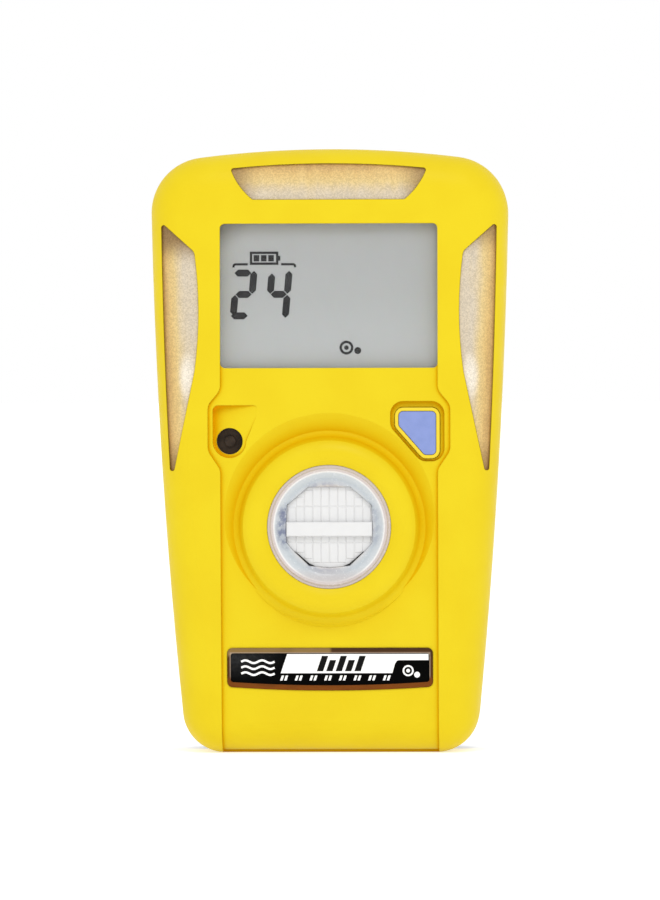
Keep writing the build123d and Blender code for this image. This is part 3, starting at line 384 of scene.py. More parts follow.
# Ground greys: lighter at the bottom and darker at the top as painted shade, and the colour of the painted shadow
# at the top left.
DISPLAY_LOW = (0.374, 0.386, 0.386)
DISPLAY_MIDDLE = (0.334, 0.344, 0.340)
DISPLAY_HIGH = (0.318, 0.325, 0.324)
DISPLAY_PAINTED_SHADOW = (0.242, 0.247, 0.243)


def display_grey(name):
    """The reflective liquid-crystal ground: a cool grey with a fine grain, with painted shade darker towards the
    top and a painted shadow of the bezel at its top left.
    """
    finish = Finish(name, (0.42, 0.44, 0.42), 0.55, Specular_IOR_Level=0.2)
    low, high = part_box("display_glass")
    up = finish.span(finish.axis("Z"), low.z / MM, high.z / MM)
    ground = finish.ramp(up, (0.0, DISPLAY_LOW), (0.5, DISPLAY_MIDDLE), (1.0, DISPLAY_HIGH))
    # Painted shadow of the bezel at the top left corner.
    corner = finish.away(low.x / MM + 1.0, 0, high.z / MM - 1.0, (5.0, 400.0, 5.0))
    ground = finish.mix(finish.span(corner, 1.0, 0.2), ground, DISPLAY_PAINTED_SHADOW)
    grain = finish.cells(0.11, "Color")
    finish.set("Base Color", finish.mix(0.035, ground, grain))
    finish.relief(finish.noise(0.12, 2.0), 0.003)
    return finish.material


def segment_ink(name):
    """Dark liquid-crystal segments, a little uneven."""
    finish = Finish(name, (0.016, 0.016, 0.017), 0.5, Specular_IOR_Level=0.08)
    finish.set("Base Color", finish.mix(finish.noise(0.4, 3.0), (0.012, 0.012, 0.013), (0.022, 0.022, 0.023)))
    return finish.material


def cap_plastic(name):
    """Clear moulded plastic over white: grey-blue and speckled, with a painted highlight ring near the rim,
    painted shade in blue-black at its sides and top where the dark bore shows through, and darker towards the
    bottom.
    """
    finish = Finish(name, (0.5, 0.53, 0.55), 0.24, Specular_IOR_Level=0.5)
    low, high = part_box("sensor_grille")
    middle = (low + high) / 2 / MM
    out = finish.away(middle.x, 0, middle.z, (1, 400, 1))
    across = finish.math("ABSOLUTE", finish.math("SUBTRACT", finish.axis("X"), middle.x))
    rise = finish.math("SUBTRACT", finish.axis("Z"), middle.z)
    # The pale stop near the rim is a painted highlight ring.
    band = finish.ramp(finish.span(out, 5.5, 8.9), (0.0, (0.62, 0.55, 0.47)), (0.12, (0.50, 0.51, 0.52)),
                       (0.35, (0.44, 0.48, 0.51)), (0.72, (0.54, 0.57, 0.59)), (0.80, (0.80, 0.78, 0.76)),
                       (0.86, (0.55, 0.48, 0.46)), (1.0, (0.50, 0.43, 0.38)))
    patch = finish.noise(0.9, 4.0)
    # Painted shade in blue-black at the sides and top, where the dark bore shows through, broken up by patches.
    level = finish.span(finish.math("ABSOLUTE", rise), 3.8, 2.0)
    near_side = finish.math("MULTIPLY", level, finish.span(out, 8.0, 7.0))
    near_side = finish.math("MULTIPLY", near_side, finish.span(across, 5.4, 6.1))
    near_top = finish.math("MULTIPLY", finish.span(across, 4.0, 2.4), finish.span(out, 7.2, 6.2))
    dark = finish.math("MAXIMUM", near_side, finish.math("MULTIPLY", near_top, 0.55))
    dark = finish.math("MULTIPLY", dark, finish.span(patch, 0.36, 0.62, 0.25, 0.95))
    dark = finish.math("MULTIPLY", dark, finish.span(finish.axis("X"), -1.5, 2.5, 1.0, 0.35))
    band = finish.mix(dark, band, (0.12, 0.14, 0.23))
    below = finish.math("MULTIPLY", finish.span(rise, -5.6, -7.6), 0.60)
    band = finish.mix(below, band, (0.46, 0.40, 0.38))
    speck = finish.span(finish.noise(0.22, 3.0), 0.62, 0.75, 0.0, 0.45)
    band = finish.mix(speck, band, (0.92, 0.92, 0.92))
    finish.set("Base Color", band)
    finish.set("Roughness", finish.span(patch, 0.3, 0.7, 0.16, 0.32))
    finish.relief(finish.noise(0.45, 3.0), 0.03, 0.12)
    return finish.material


def white_fibre(name):
    """A white porous membrane: matted fibres."""
    finish = Finish(name, (0.80, 0.80, 0.79), 0.85, Specular_IOR_Level=0.2)
    fibres = finish.noise(0.25, 5.0, (3, 1, 1))
    finish.set("Base Color", finish.mix(fibres, (0.76, 0.76, 0.76), (0.84, 0.84, 0.83)))
    finish.relief(fibres, 0.03)
    return finish.material


def milky_plastic(name, colour):
    """White translucent moulding with faint sink marks."""
    finish = Finish(name, colour, 0.35, Specular_IOR_Level=0.4)
    paler = tuple(min(1.0, c * 1.06) for c in colour)
    finish.set("Base Color", finish.mix(finish.noise(1.2, 4.0), colour, paler))
    finish.relief(finish.noise(0.5, 3.0), 0.012, 0.08)
    return finish.material


def key_rubber(name, colour, paler):
    """A matt silicone key face: soft grain, and worn paler in patches."""
    finish = Finish(name, colour, 0.6, Specular_IOR_Level=0.25)
    clouds = finish.noise(1.3, 4.0)
    finish.set("Base Color", finish.mix(finish.span(clouds, 0.3, 0.7), colour, paler))
    finish.relief(finish.noise(0.15, 3.0), 0.012, 0.12)
    return finish.material


def spark_plastic(name, colour, rough, grain=0.35, depth=0.03, edge=0.15):
    """Moulded plastic with a spark-eroded texture, rubbed smoother in places."""
    finish = Finish(name, colour, rough, Specular_IOR_Level=0.45)
    pits = finish.noise(grain, 4.0)
    rubbed = finish.noise(7.0, 3.0)
    paler = tuple(min(1.0, c * 1.35 + 0.004) for c in colour)
    finish.set("Base Color", finish.mix(finish.math("MULTIPLY", pits, rubbed), colour, paler))
    finish.set("Roughness", finish.span(rubbed, 0.3, 0.7, rough - 0.08, rough + 0.08))
    finish.relief(pits, depth, edge)
    return finish.material


def soft_rubber(name, colour):
    """Dull elastomer with a dusty bloom."""
    finish = Finish(name, colour, 0.7, Specular_IOR_Level=0.3)
    bloom = finish.noise(1.6, 5.0)
    dusty = tuple(c * 1.5 + 0.012 for c in colour)
    finish.set("Base Color", finish.mix(finish.span(bloom, 0.45, 0.75), colour, dusty))
    finish.relief(finish.noise(0.12, 3.0), 0.012, 0.06)
    return finish.material


def worked_metal(name, colour, rough, stretch=(1, 1, 1), grain=0.18):
    """Drawn or rolled metal: fine scratches along one direction, with faint smears and softened edges."""
    finish = Finish(name, colour, rough, Metallic=1.0)
    lines = finish.noise(grain, 4.0, stretch)
    smears = finish.noise(4.0, 3.0)
    darker = tuple(c * 0.72 for c in colour)
    tone = finish.mix(finish.span(lines, 0.3, 0.7), darker, colour)
    finish.set("Base Color", finish.mix(finish.span(smears, 0.55, 0.8, 0.0, 0.25), tone, darker))
    finish.set("Roughness", finish.span(lines, 0.3, 0.7, rough - 0.08, rough + 0.12))
    finish.relief(lines, 0.004, 0.12)
    return finish.material


def solder_mask(name):
    """A green circuit board with traces under its mask."""
    finish = Finish(name, (0.012, 0.10, 0.035), 0.3, Specular_IOR_Level=0.5)
    cells = finish.cells(2.2)
    traces = finish.span(cells, 0.42, 0.46)
    finish.set("Base Color", finish.mix(traces, (0.010, 0.085, 0.030), (0.03, 0.17, 0.06)))
    finish.relief(traces, 0.02)
    return finish.material


def brushed(colour, rough, stretch):
    """Worked metal with a colour, a roughness and its scratches' direction already chosen."""
    return lambda name: worked_metal(name, colour, rough, stretch)


KEY_BLUE = (0.192, 0.250, 0.512)
KEY_BLUE_PALE = (0.212, 0.270, 0.545)
FINISHES = {
    "yellow_overmould": yellow_rubber,
    "window_shell": window_plastic,
    "label_amber": amber_resin,
    "label_print": label_film,
    "clear_pane": clear_pane,
    "lcd_glass": display_grey,
    "white_plastic": lambda name: milky_plastic(name, (0.78, 0.78, 0.76)),
    "contact_rubber": lambda name: soft_rubber(name, (0.28, 0.03, 0.18)),
    "tray_plastic": lambda name: spark_plastic(name, (0.02, 0.02, 0.022), 0.5),
    "circuit_board": solder_mask,
    "chip_black": lambda name: spark_plastic(name, (0.012, 0.012, 0.013), 0.45, 0.12, 0.01, 0.05),
    "led_clear": lambda name: milky_plastic(name, (0.70, 0.10, 0.06)),
    "cell_can": brushed((0.62, 0.63, 0.64), 0.32, (6, 1, 1)),
    "nickel_strip": brushed((0.66, 0.62, 0.55), 0.35, (1, 1, 6)),
    "foam": lambda name: soft_rubber(name, (0.03, 0.03, 0.032)),
    "motor_steel": brushed((0.55, 0.56, 0.57), 0.3, (6, 1, 1)),
    "weight_tungsten": brushed((0.33, 0.34, 0.36), 0.45, (1, 1, 1)),
    "black_rubber": lambda name: soft_rubber(name, (0.012, 0.012, 0.013)),
    "clear_grille": cap_plastic,
    "filter_white": white_fibre,
    "cell_plastic": lambda name: milky_plastic(name, (0.55, 0.58, 0.62)),
    "gold_pin": brushed((0.80, 0.56, 0.22), 0.25, (1, 6, 1)),
    "sounder_brass": brushed((0.66, 0.48, 0.22), 0.35, (1, 1, 1)),
    "vent_black": lambda name: key_rubber(name, (0.020, 0.012, 0.007), (0.045, 0.030, 0.020)),
    "key_yellow": lambda name: yellow_rubber(name, 0.12, 0.36, KEY_YELLOW),
    "key_blue": lambda name: key_rubber(name, KEY_BLUE, KEY_BLUE_PALE),
    "switch_plastic": lambda name: spark_plastic(name, (0.05, 0.05, 0.055), 0.4, 0.15, 0.01, 0.05),
    "rear_plastic": lambda name: spark_plastic(name, (0.017, 0.0175, 0.019), 0.48, 0.30, 0.035, 0.25),
    "silicone_seal": lambda name: soft_rubber(name, (0.30, 0.03, 0.015)),
    "label_silver": lambda name: printed_film(name, (0.46, 0.47, 0.48), 0.34),
    "screw_steel": brushed((0.42, 0.42, 0.44), 0.3, (1, 1, 1)),
    "brass_insert": brushed((0.70, 0.52, 0.24), 0.3, (1, 6, 1)),
    "clip_steel": brushed((0.60, 0.60, 0.61), 0.27, (1, 1, 9)),
    "spring_steel": brushed((0.45, 0.45, 0.47), 0.25, (1, 1, 1)),
}


def paint_frame():
    """Gives every CAD node its slot's finish, and returns the finishes by slot."""
    finishes = {slot: make(slot) for slot, make in FINISHES.items()}
    for subpart in frame["record"]["subparts"]:
        for holder in frame["nodes"][subpart["node"]].material_slots:
            holder.material = finishes[subpart["material_slot"]]
    return finishes


# ---- Mesh helpers ---------------------------------------------------------------------------------
def piece(name, points, faces, finish, slot, body="case", smooth_under=35.0):
    """A mesh object from points in millimetres, which rides on a body."""
    mesh = bpy.data.meshes.new(name)
    mesh.from_pydata([Vector(p) * MM for p in points], [], faces)
    mesh.validate()
    mesh.shade_smooth()
    mesh.set_sharp_from_angle(angle=radians(smooth_under))
    mesh.materials.append(finish)
    thing = bpy.data.objects.new(name, mesh)
    bpy.context.scene.collection.objects.link(thing)
    if body:
        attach(thing, body)
    return thing


def joined(solids):
    """Several (points, faces) solids as one."""
    points = []
    faces = []
    for more_points, more_faces in solids:
        start = len(points)
        points += more_points
        faces += [tuple(start + i for i in face) for face in more_faces]
    return points, faces


def plate(outline, front, thick):
    """A thin prism: an X-Z outline, a front depth or a function of X and Z for it, and a thickness."""
    depth = front if callable(front) else lambda x, z: front
    count = len(outline)
    near = [(x, depth(x, z), z) for x, z in outline]
    far = [(x, y + thick, z) for x, y, z in near]
    fill = tessellate_polygon([[Vector((x, z, 0)) for x, z in outline]])
    faces = []
    for a, b, c in fill:
        (ax, az), (bx, bz), (cx, cz) = outline[a], outline[b], outline[c]
        faces_front = (bx - ax) * (cz - az) - (cx - ax) * (bz - az) > 0
        face = (a, b, c) if faces_front else (a, c, b)
        faces.append(face)
        faces.append(tuple(count + i for i in reversed(face)))
    area = sum(outline[i - 1][0] * outline[i][1] - outline[i][0] * outline[i - 1][1] for i in range(count))
    for i in range(count):
        j = (i + 1) % count
        side = (i, count + i, count + j, j)
        faces.append(side if area > 0 else side[::-1])
    return near + far, faces


def ring_of(sections):
    """A closed surface through sections, each a closed loop of as many points, joined end to end."""
    count = len(sections[0])
    points = [p for section in sections for p in section]
    faces = []
    for s in range(len(sections)):
        t = (s + 1) % len(sections)
        for i in range(count):
            j = (i + 1) % count
            faces.append((s * count + i, t * count + i, t * count + j, s * count + j))
    return points, faces


def tube(path, radius, sides=12):
    """A round wire along a list of points, closed at both ends."""
    points = []
    normal = Vector((1, 0, 0))
    for i, here in enumerate(path):
        along = (path[min(i + 1, len(path) - 1)] - path[max(i - 1, 0)]).normalized()
        normal = (normal - along * normal.dot(along)).normalized()
        other = along.cross(normal)
        for k in range(sides):
            turn = 2 * pi * k / sides
            points.append(here + (normal * cos(turn) + other * sin(turn)) * radius)
    faces = []
    for i in range(len(path) - 1):
        for k in range(sides):
            m = (k + 1) % sides
            faces.append((i * sides + k, i * sides + m, (i + 1) * sides + m, (i + 1) * sides + k))
    last = (len(path) - 1) * sides
    faces.append(tuple(reversed(range(sides))))
    faces.append(tuple(last + k for k in range(sides)))
    return points, faces


def rounded_box(x, y, z, edge):
    """A box from three pairs of limits, with chamfered edges along its front."""
    loops = []
    for depth, inset in ((y[1], 0.0), (y[0] + edge, 0.0), (y[0], edge)):
        low_x, high_x = x[0] + inset, x[1] - inset
        low_z, high_z = z[0] + inset, z[1] - inset
        loops.append([(low_x, depth, low_z), (high_x, depth, low_z),
                      (high_x, depth, high_z), (low_x, depth, high_z)])
    points = [p for loop in loops for p in loop]
    faces = [(3, 2, 1, 0), (8, 9, 10, 11)]
    for s in (0, 4):
        faces += [(s + i, s + (i + 1) % 4, s + 4 + (i + 1) % 4, s + 4 + i) for i in range(4)]
    return points, faces


def arc(x, z, radius, first, last, steps):
    """Points along an X-Z arc between two angles in degrees."""
    turns = [radians(first + (last - first) * i / steps) for i in range(steps + 1)]
    return [(x + radius * cos(turn), z + radius * sin(turn)) for turn in turns]


def ribbon(line, wide):
    """The outline of an open X-Z line drawn with a width."""
    left = []
    right = []
    for i, (x, z) in enumerate(line):
        before = line[max(i - 1, 0)]
        after = line[min(i + 1, len(line) - 1)]
        dx = after[0] - before[0]
        dz = after[1] - before[1]
        long = hypot(dx, dz)
        left.append((x - dz / long * wide / 2, z + dx / long * wide / 2))
        right.append((x + dz / long * wide / 2, z - dx / long * wide / 2))
    return left + right[::-1]


def hoop(x, z, radius, wide, front, thick, steps=40):
    """A flat ring as a closed solid."""
    depth = front if callable(front) else lambda x, z: front
    sections = []
    for turn in (2 * pi * i / steps for i in range(steps)):
        inner = (x + (radius - wide / 2) * cos(turn), z + (radius - wide / 2) * sin(turn))
        outer = (x + (radius + wide / 2) * cos(turn), z + (radius + wide / 2) * sin(turn))
        near = [(px, depth(px, pz), pz) for px, pz in (inner, outer)]
        sections.append([near[0], near[1], (near[1][0], near[1][1] + thick, near[1][2]),
                         (near[0][0], near[0][1] + thick, near[0][2])])
    return ring_of(sections)


def dot(x, z, radius):
    """A disc's outline."""
    return arc(x, z, radius, 0, 360, 24)[:-1]


def ring_and_dot(x, z, radius, wide, front, thick):
    """A flat ring with a dot in its middle, as two closed solids."""
    return [hoop(x, z, radius, wide, front, thick), plate(dot(x, z, radius * 0.4), front, thick)]


def surface(node, proud, from_rear=False):
    """A function that gives a node's skin at an X-Z place, in millimetres, and stands proud of it."""
    mesh = frame["nodes"][node].data
    tree = BVHTree.FromPolygons([v.co for v in mesh.vertices], [tuple(p.vertices) for p in mesh.polygons])
    side = 1 if from_rear else -1

    def depth(x, z):
        hit = tree.ray_cast(Vector((x * MM, side * 0.1, z * MM)), Vector((0, -side, 0)))[0]
        return hit.y / MM + side * proud

    return depth


# ---- Display graphics -----------------------------------------------------------------------------
DIGIT_TALL = 7.15
DIGIT_WIDE = 3.45
DIGIT_STROKE = 1.0
DIGIT_SLANT = tan(radians(5.0))
DIGIT_GAP = 0.07
DIGIT_STEP = 5.05
SEGMENTS = {"2": "abged", "4": "fgbc"}
INK_THICK = 0.03


def segment(first, last, wide):
    """A display segment with pointed ends, between two points."""
    dx = last[0] - first[0]
    dz = last[1] - first[1]
    long = hypot(dx, dz)
    dx, dz = dx / long, dz / long
    half = wide / 2
    start = (first[0] + dx * DIGIT_GAP, first[1] + dz * DIGIT_GAP)
    end = (last[0] - dx * DIGIT_GAP, last[1] - dz * DIGIT_GAP)
    shoulders = [(start, 1), (end, -1)]
    (sx, sz), (ex, ez) = [(x + way * dx * half, z + way * dz * half) for (x, z), way in shoulders]
    return [start, (sx - dz * half, sz + dx * half), (ex - dz * half, ez + dx * half), end,
            (ex + dz * half, ez - dx * half), (sx + dz * half, sz - dx * half)]


def digit(figure, left, bottom):
    """The outlines of a seven-segment figure."""
    low = DIGIT_STROKE / 2
    near, far = low, DIGIT_WIDE - low
    middle, high = DIGIT_TALL / 2, DIGIT_TALL - low
    top, foot = DIGIT_TALL - 0.12, 0.12
    lines = {"a": ((near - 0.42, high), (far - 0.30, high)), "b": ((far, top), (far, middle)),
             "c": ((far, middle), (far, foot)), "d": ((far - 0.30, low), (near - 0.42, low)),
             "e": ((near, low), (near, middle)), "f": ((near, middle), (near, high)),
             "g": ((near, middle), (far, middle))}
    outlines = [segment(*lines[letter], DIGIT_STROKE) for letter in SEGMENTS[figure]]
    return [[(left + x + z * DIGIT_SLANT, bottom + z) for x, z in outline] for outline in outlines]


def display_graphics(finishes):
    """The lit segments: two figures, a bracket with a charge symbol, and a ring with two dots."""
    low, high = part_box("display_glass")
    front = low.y / MM - INK_THICK
    left = low.x / MM + 2.5
    bottom = low.z / MM + 8.25
    outlines = digit("2", left, bottom) + digit("4", left + DIGIT_STEP, bottom)
    outlines += bracket(left + 0.6, bottom + DIGIT_TALL + 0.75)
    outlines += charge_symbol(left + 5.0, bottom + DIGIT_TALL + 1.62)
    solids = [plate(outline, front, INK_THICK) for outline in outlines]
    mark_x = high.x / MM - 14.3
    mark_z = low.z / MM + 4.15
    solids += ring_and_dot(mark_x, mark_z, 0.82, 0.36, front, INK_THICK)
    solids.append(plate(dot(mark_x + 1.62, mark_z - 0.42, 0.50), front, INK_THICK))
    piece("display_segments", *joined(solids), finishes["segment_ink"], "lcd_glass")


def bracket(left, level):
    """A line in two halves with a hook down at each end."""
    gap = (2.05, 6.85)
    width = 8.85
    hook = 0.45
    outlines = []
    for inner, outer, side in ((gap[0], 0.0, 1), (gap[1], width, -1)):
        bend = arc(left + outer + side * 0.3, level - 0.3, 0.3, 180 if side > 0 else 0, 90, 5)
        line = [(left + outer, level - 0.3 - hook + 0.3)] + bend + [(left + inner, level)]
        outlines.append(ribbon(line, 0.32))
    return outlines


def charge_symbol(x, z):
    """A small battery outline with bars."""
    wide, tall, stroke = 4.1, 1.9, 0.34
    left, right = x - wide / 2, x + wide / 2
    low, high = z - tall / 2, z + tall / 2
    sides = [(left, right, low, low + stroke), (left, right, high - stroke, high)]
    sides += [(left, left + stroke, low + stroke, high - stroke)]
    sides += [(right - stroke, right, low + stroke, high - stroke)]
    sides += [(right, right + 0.28, z - 0.35, z + 0.35)]
    sides += [(left + 0.55 + 1.05 * i, left + 1.35 + 1.05 * i, low + 0.50, high - 0.50) for i in range(3)]
    return [[(a, c), (b, c), (b, d), (a, d)] for a, b, c, d in sides]


# ---- Front label print ----------------------------------------------------------------------------
PRINT_PROUD = 0.03
PRINT_THICK = 0.05
TICKS = 8
TICK_STEP = 2.11
BAR_STEP = 1.35
BAR_WIDE = 0.90
BARS_TALL = (2.2, 1.6, 2.2, 1.6, 2.2)
WAVE_STEP = 0.86
WAVE_LONG = 4.8
LABEL_SLANT = 0.338  # how far the print's slanted edges lean to the right, for each unit of height


def label_print(finishes):
    """White print on the black plate: a slanted panel, a wave mark, ticks and a ring with two dots."""
    low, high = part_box("front_label")
    top = high.z / MM - 0.12
    right = high.x / MM - 0.12
    strip = low.z / MM + 1.75
    skin = surface("front_label", PRINT_PROUD)
    tab_left = right - 5.2
    tab_top = strip + 1.87
    lean = LABEL_SLANT * (top - strip)
    start = -7.1
    tab = [(tab_left, strip), (tab_left + 0.40, tab_top - 0.45)]
    tab += arc(tab_left + 1.0, tab_top - 0.55, 0.55, 170, 90, 5)
    panel = [(start, strip), *tab, (right, tab_top), (right, top), (start + lean, top)]
    white = [plate(panel, skin, PRINT_THICK)]
    for row in range(3):
        level = strip - 0.05 + WAVE_STEP * row
        white.append(plate(wave(low.x / MM + 3.9, level, WAVE_LONG), skin, PRINT_THICK))
    for i in range(TICKS):
        foot = start - 0.1 + TICK_STEP * i
        for stroke in (0.0, 0.58):
            white.append(plate(slanted(foot + stroke, strip - 1.05, 0.34, 0.72), skin, PRINT_THICK))
    mark_x = right - 2.93
    mark_z = strip + 0.35
    white += ring_and_dot(mark_x, mark_z, 0.68, 0.24, skin, PRINT_THICK)
    white.append(plate(dot(mark_x + 1.28, mark_z - 0.58, 0.42), skin, PRINT_THICK))
    piece("label_white_print", *joined(white), finishes["print_white"], "label_print")
    over = surface("front_label", 2 * PRINT_PROUD)
    foot = (strip + top) / 2 - BARS_TALL[0] / 2
    bars = [slanted(-1.9 + BAR_STEP * i, foot, BAR_WIDE, tall) for i, tall in enumerate(BARS_TALL)]
    black = [plate(bar, over, PRINT_PROUD) for bar in bars]
    piece("label_black_print", *joined(black), finishes["print_black"], "label_print")


def slanted(left, foot, wide, tall):
    """A leaning bar's outline."""
    lean = LABEL_SLANT * tall
    return [(left, foot), (left + wide, foot), (left + wide + lean, foot + tall), (left + lean, foot + tall)]


def wave(x, z, long):
    """A wavy line's outline, centred on a place."""
    line = [(x + long * (i / 24 - 0.5), z + 0.20 * sin(4 * pi * i / 24)) for i in range(25)]
    return ribbon(line, 0.30)


def rear_print(finishes):
    """Plain rules, blocks and a ring with a dot on the rear label, where the real one is printed."""
    low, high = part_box("rear_label")
    left, right = low.x / MM + 1.0, high.x / MM - 1.0
    bottom, top = low.z / MM + 1.0, high.z / MM - 1.0
    skin = surface("rear_label", 0.0, from_rear=True)
    boxes = [(left, right, top - 0.2, top), (left, right, bottom, bottom + 0.2)]
    for row in range(4):
        level = top - 1.7 - 1.75 * row
        starts = [left + 3.1 * i for i in range(6 - row % 2)]
        boxes += [(start, start + 2.3 + 0.4 * (row % 2), level - 0.35, level + 0.35) for start in starts]
    solids = [plate([(a, c), (b, c), (b, d), (a, d)], skin, 0.015) for a, b, c, d in boxes]
    solids += ring_and_dot(right - 3.2, (top + bottom) / 2, 2.6, 0.35, skin, 0.015)
    piece("rear_label_print", *joined(solids), finishes["print_black"], "label_silver")


# ---- Sensor cap, lattice and painted gap shadows --------------------------------------------------
CAP_CORNERS = [(6.15, -2.30), (6.20, 0.00), (6.05, 3.10), (3.00, 5.70), (-3.00, 5.70), (-6.05, 3.10),
               (-6.20, 0.00), (-6.15, -2.30), (-5.10, -3.50), (-2.90, -5.60), (0.00, -5.90),
               (2.90, -5.60), (5.10, -3.50)]
CAP_STEPS = 144
CAP_SUNK = 1.2  # from the rim's crest back to the flat round the opening
CAP_WALL = 0.95
CAP_BORE = 7.0
LATTICE_Z = 1.45  # the lattice's round outline is centred this far above the sensor's axis
LATTICE_R = 7.0
TILE_STEP = 1.2
GROOVE = 0.12


def opening_radius(turn):
    """How far the cap's many-sided opening reaches from its middle in a direction."""
    dx, dz = cos(turn), sin(turn)
    best = 99.0
    for (ax, az), (bx, bz) in zip(CAP_CORNERS, CAP_CORNERS[1:] + CAP_CORNERS[:1]):
        ex, ez = bx - ax, bz - az
        cross = dx * ez - dz * ex
        if abs(cross) > 1e-9:
            reach = (ax * ez - az * ex) / cross
            along = (ax * dz - az * dx) / cross
            if reach > 0 and -1e-6 <= along <= 1 + 1e-6:
                best = min(best, reach)
    return best


def sensor_cap(finishes):
    """The clear cap: a stepped rim, a sloping band, and a flat with the many-sided opening in it."""
    low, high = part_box("sensor_grille")
    z = (low.z + high.z) / 2 / MM
    front, rear = low.y / MM, high.y / MM
    rim = (high.x - low.x) / 2 / MM
    face = front + CAP_SUNK
    sections = []
    for turn in (2 * pi * i / CAP_STEPS for i in range(CAP_STEPS)):
        hole = opening_radius(turn)
        profile = [(hole, face + CAP_WALL), (hole, face + 0.22), (hole + 0.07, face + 0.07),
                   (hole + 0.22, face), (6.75, face), (6.95, face - 0.06), (7.9, face - 0.92),
                   (8.08, front + 0.10), (8.20, front + 0.01), (8.34, front), (8.44, front + 0.10),
                   (8.50, front + 0.22), (8.62, front + 0.23), (rim - 0.02, front + 0.26),
                   (rim, front + 0.30), (rim, rear), (CAP_BORE, rear), (CAP_BORE, face + CAP_WALL)]
        sections.append([(r * cos(turn), y, z + r * sin(turn)) for r, y in profile])
    points, faces = ring_of(sections)
    cap = piece("sensor_cap", points, faces, finishes["clear_grille"], "clear_grille")
    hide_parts("sensor_grille")
    return z, face


def filter_lattice(finishes, z, face):
    """The white moulding in the opening: a bar across, and flat tiles parted by fine grooves."""
    turns = [2 * pi * i / CAP_STEPS for i in range(CAP_STEPS)]
    ground = [((opening_radius(t) - 0.02) * cos(t), z + (opening_radius(t) - 0.02) * sin(t)) for t in turns]
    solids = [plate(ground, face + 0.68, 0.28)]
    levels = [-5.2, -2.30, 2.90, 6.2]
    for low_x in (TILE_STEP * (i - 5) for i in range(10)):
        left, right = low_x + GROOVE / 2, low_x + TILE_STEP - GROOVE / 2
        for low_z, high_z in zip(levels, levels[1:]):
            bottom, top = low_z + GROOVE / 2, high_z - GROOVE / 2
            far = max(abs(left), abs(right))
            bottom = max(bottom, LATTICE_Z - sqrt_or_zero(LATTICE_R**2 - far * far))
            top = min(top, 5.7, 5.7 - (far - 3.0) * 0.85)
            if top - bottom > 0.5:
                limits = (z + bottom, z + top)
                solids.append(rounded_box((left, right), (face + 0.62, face + 0.80), limits, 0.04))
    bar = (z - 1.40, z + 0.70)
    solids.append(rounded_box((-6.17, 6.17), (face - 0.10, face + 0.60), bar, 0.12))
    piece("filter_lattice", *joined(solids), finishes["lattice_white"], "white_plastic")


def sqrt_or_zero(value):
    """The square root, or zero for a value below zero."""
    return value**0.5 if value > 0 else 0.0


def filter_gap_shadows(finishes, z, face):
    """The two dark slits between the filter's round edge and the opening's lower corners, as black crescents of
    painted shadow.
    """
    solids = []
    for side in (-1, 1):
        outer = [(side * x, z + y) for x, y in ((2.0, -5.68), (2.90, -5.58), (5.0, -3.58))]
        inner_points = ((4.95, -3.54), (4.3, -4.05), (3.5, -4.74), (2.85, -5.28), (2.3, -5.52))
        inner = [(side * x, z + y) for x, y in inner_points]
        solids.append(plate(outer + inner, face + 0.30, 0.30))
    piece("filter_gap_shadows", *joined(solids), finishes["black_rubber"], "black_rubber")


# ---- Clip spring ----------------------------------------------------------------------------------
WIRE_R = 0.35
COIL_R = 1.85
COIL_TURNS = 5


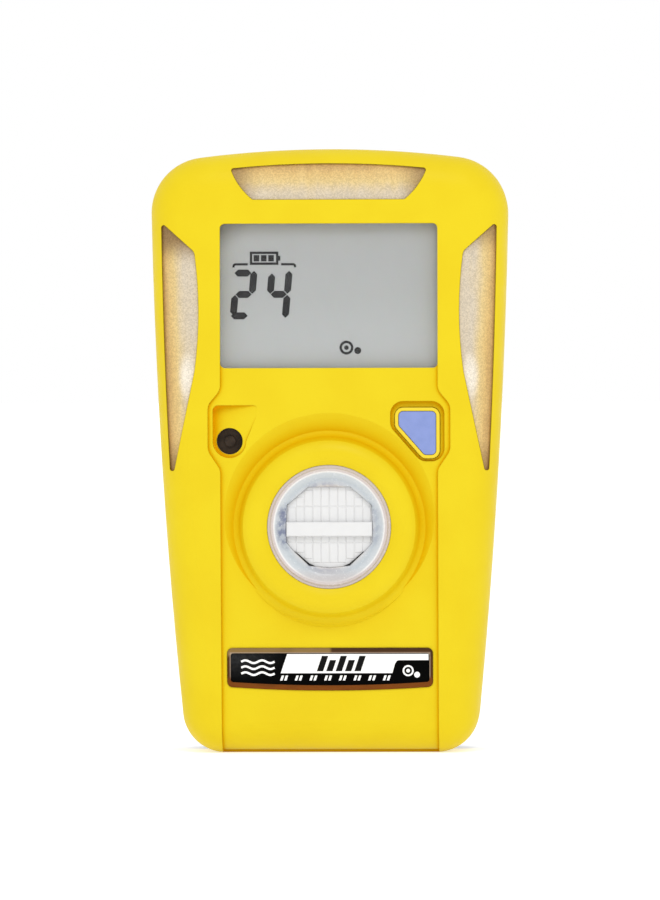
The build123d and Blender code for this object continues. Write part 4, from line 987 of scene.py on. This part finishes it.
def clip_spring(finishes):
    """The torsion spring round the clip's pin: one leg under the lever, one on the base."""
    low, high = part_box("clip_spring")
    hinge = next(joint for joint in frame["joints"] if joint["name"] == "clip_hinge")["pos_m"]
    y, z = hinge[1] / MM, hinge[2] / MM
    half = high.x / MM - WIRE_R
    lever_end = (high.y / MM - WIRE_R * 0.8, high.z / MM - 0.2)
    base_end = (low.y / MM + WIRE_R, high.z / MM - 0.3)
    start = leave_angle(lever_end[0] - y, lever_end[1] - z, -1)
    finish = leave_angle(base_end[0] - y, base_end[1] - z, 1) - 2 * pi * COIL_TURNS
    path = leg(-half, y, z, start, lever_end)[::-1]
    steps = 40 * COIL_TURNS
    for i in range(steps + 1):
        turn = start + (finish - start) * i / steps
        path.append(Vector((-half + 2 * half * i / steps, y + COIL_R * cos(turn), z + COIL_R * sin(turn))))
    path += leg(half, y, z, finish, base_end)
    points, faces = tube(path, WIRE_R)
    steel = finishes["spring_steel"]
    spring = piece("coil_spring", points, faces, steel, "spring_steel", body=None, smooth_under=60)
    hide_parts("clip_spring")
    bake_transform(spring)


def leave_angle(dy, dz, side):
    """The angle at which a straight leg to a point leaves the coil."""
    return atan2(dz, dy) + side * acos(COIL_R / hypot(dy, dz))


def leg(x, y, z, angle, end):
    """The points of a straight leg, out from the coil."""
    foot = Vector((x, y + COIL_R * cos(angle), z + COIL_R * sin(angle)))
    tip = Vector((x, end[0], end[1]))
    return [foot.lerp(tip, i / 6) for i in range(1, 7)]


# ---- Floor ----------------------------------------------------------------------------------------
FLOOR_GLOW = 0.45


def floor():
    """A wide pale floor."""
    finish = Finish("floor", (0.80, 0.80, 0.80), 0.9, Specular_IOR_Level=0.0)
    finish.set("Base Color", finish.mix(finish.noise(60.0, 3.0), (0.79, 0.79, 0.79), (0.81, 0.81, 0.81)))
    finish.set("Emission Color", (1, 1, 1, 1))
    finish.set("Emission Strength", FLOOR_GLOW)
    reach = 12000
    corners = [(-reach, -reach, 0), (reach, -reach, 0), (reach, reach, 0), (-reach, reach, 0)]
    mesh = bpy.data.meshes.new("floor")
    mesh.from_pydata([Vector(p) * MM for p in corners], [], [(0, 1, 2, 3)])
    mesh.materials.append(finish.material)
    ground = bpy.data.objects.new("floor", mesh)
    bpy.context.scene.collection.objects.link(ground)


# ---- The whole ------------------------------------------------------------------------------------
camera()
lights()
floor()
finishes = paint_frame()
finishes["segment_ink"] = segment_ink("segment_ink")
finishes["print_white"] = printed_film("print_white", (0.80, 0.80, 0.80), 0.25)
finishes["print_black"] = printed_film("print_black", (0.004, 0.004, 0.004), 0.30, 0.06)
finishes["lattice_white"] = milky_plastic("lattice_white", (0.63, 0.63, 0.63))
display_graphics(finishes)
label_print(finishes)
rear_print(finishes)
sensor_z, sensor_face = sensor_cap(finishes)
filter_lattice(finishes, sensor_z, sensor_face)
filter_gap_shadows(finishes, sensor_z, sensor_face)
clip_spring(finishes)
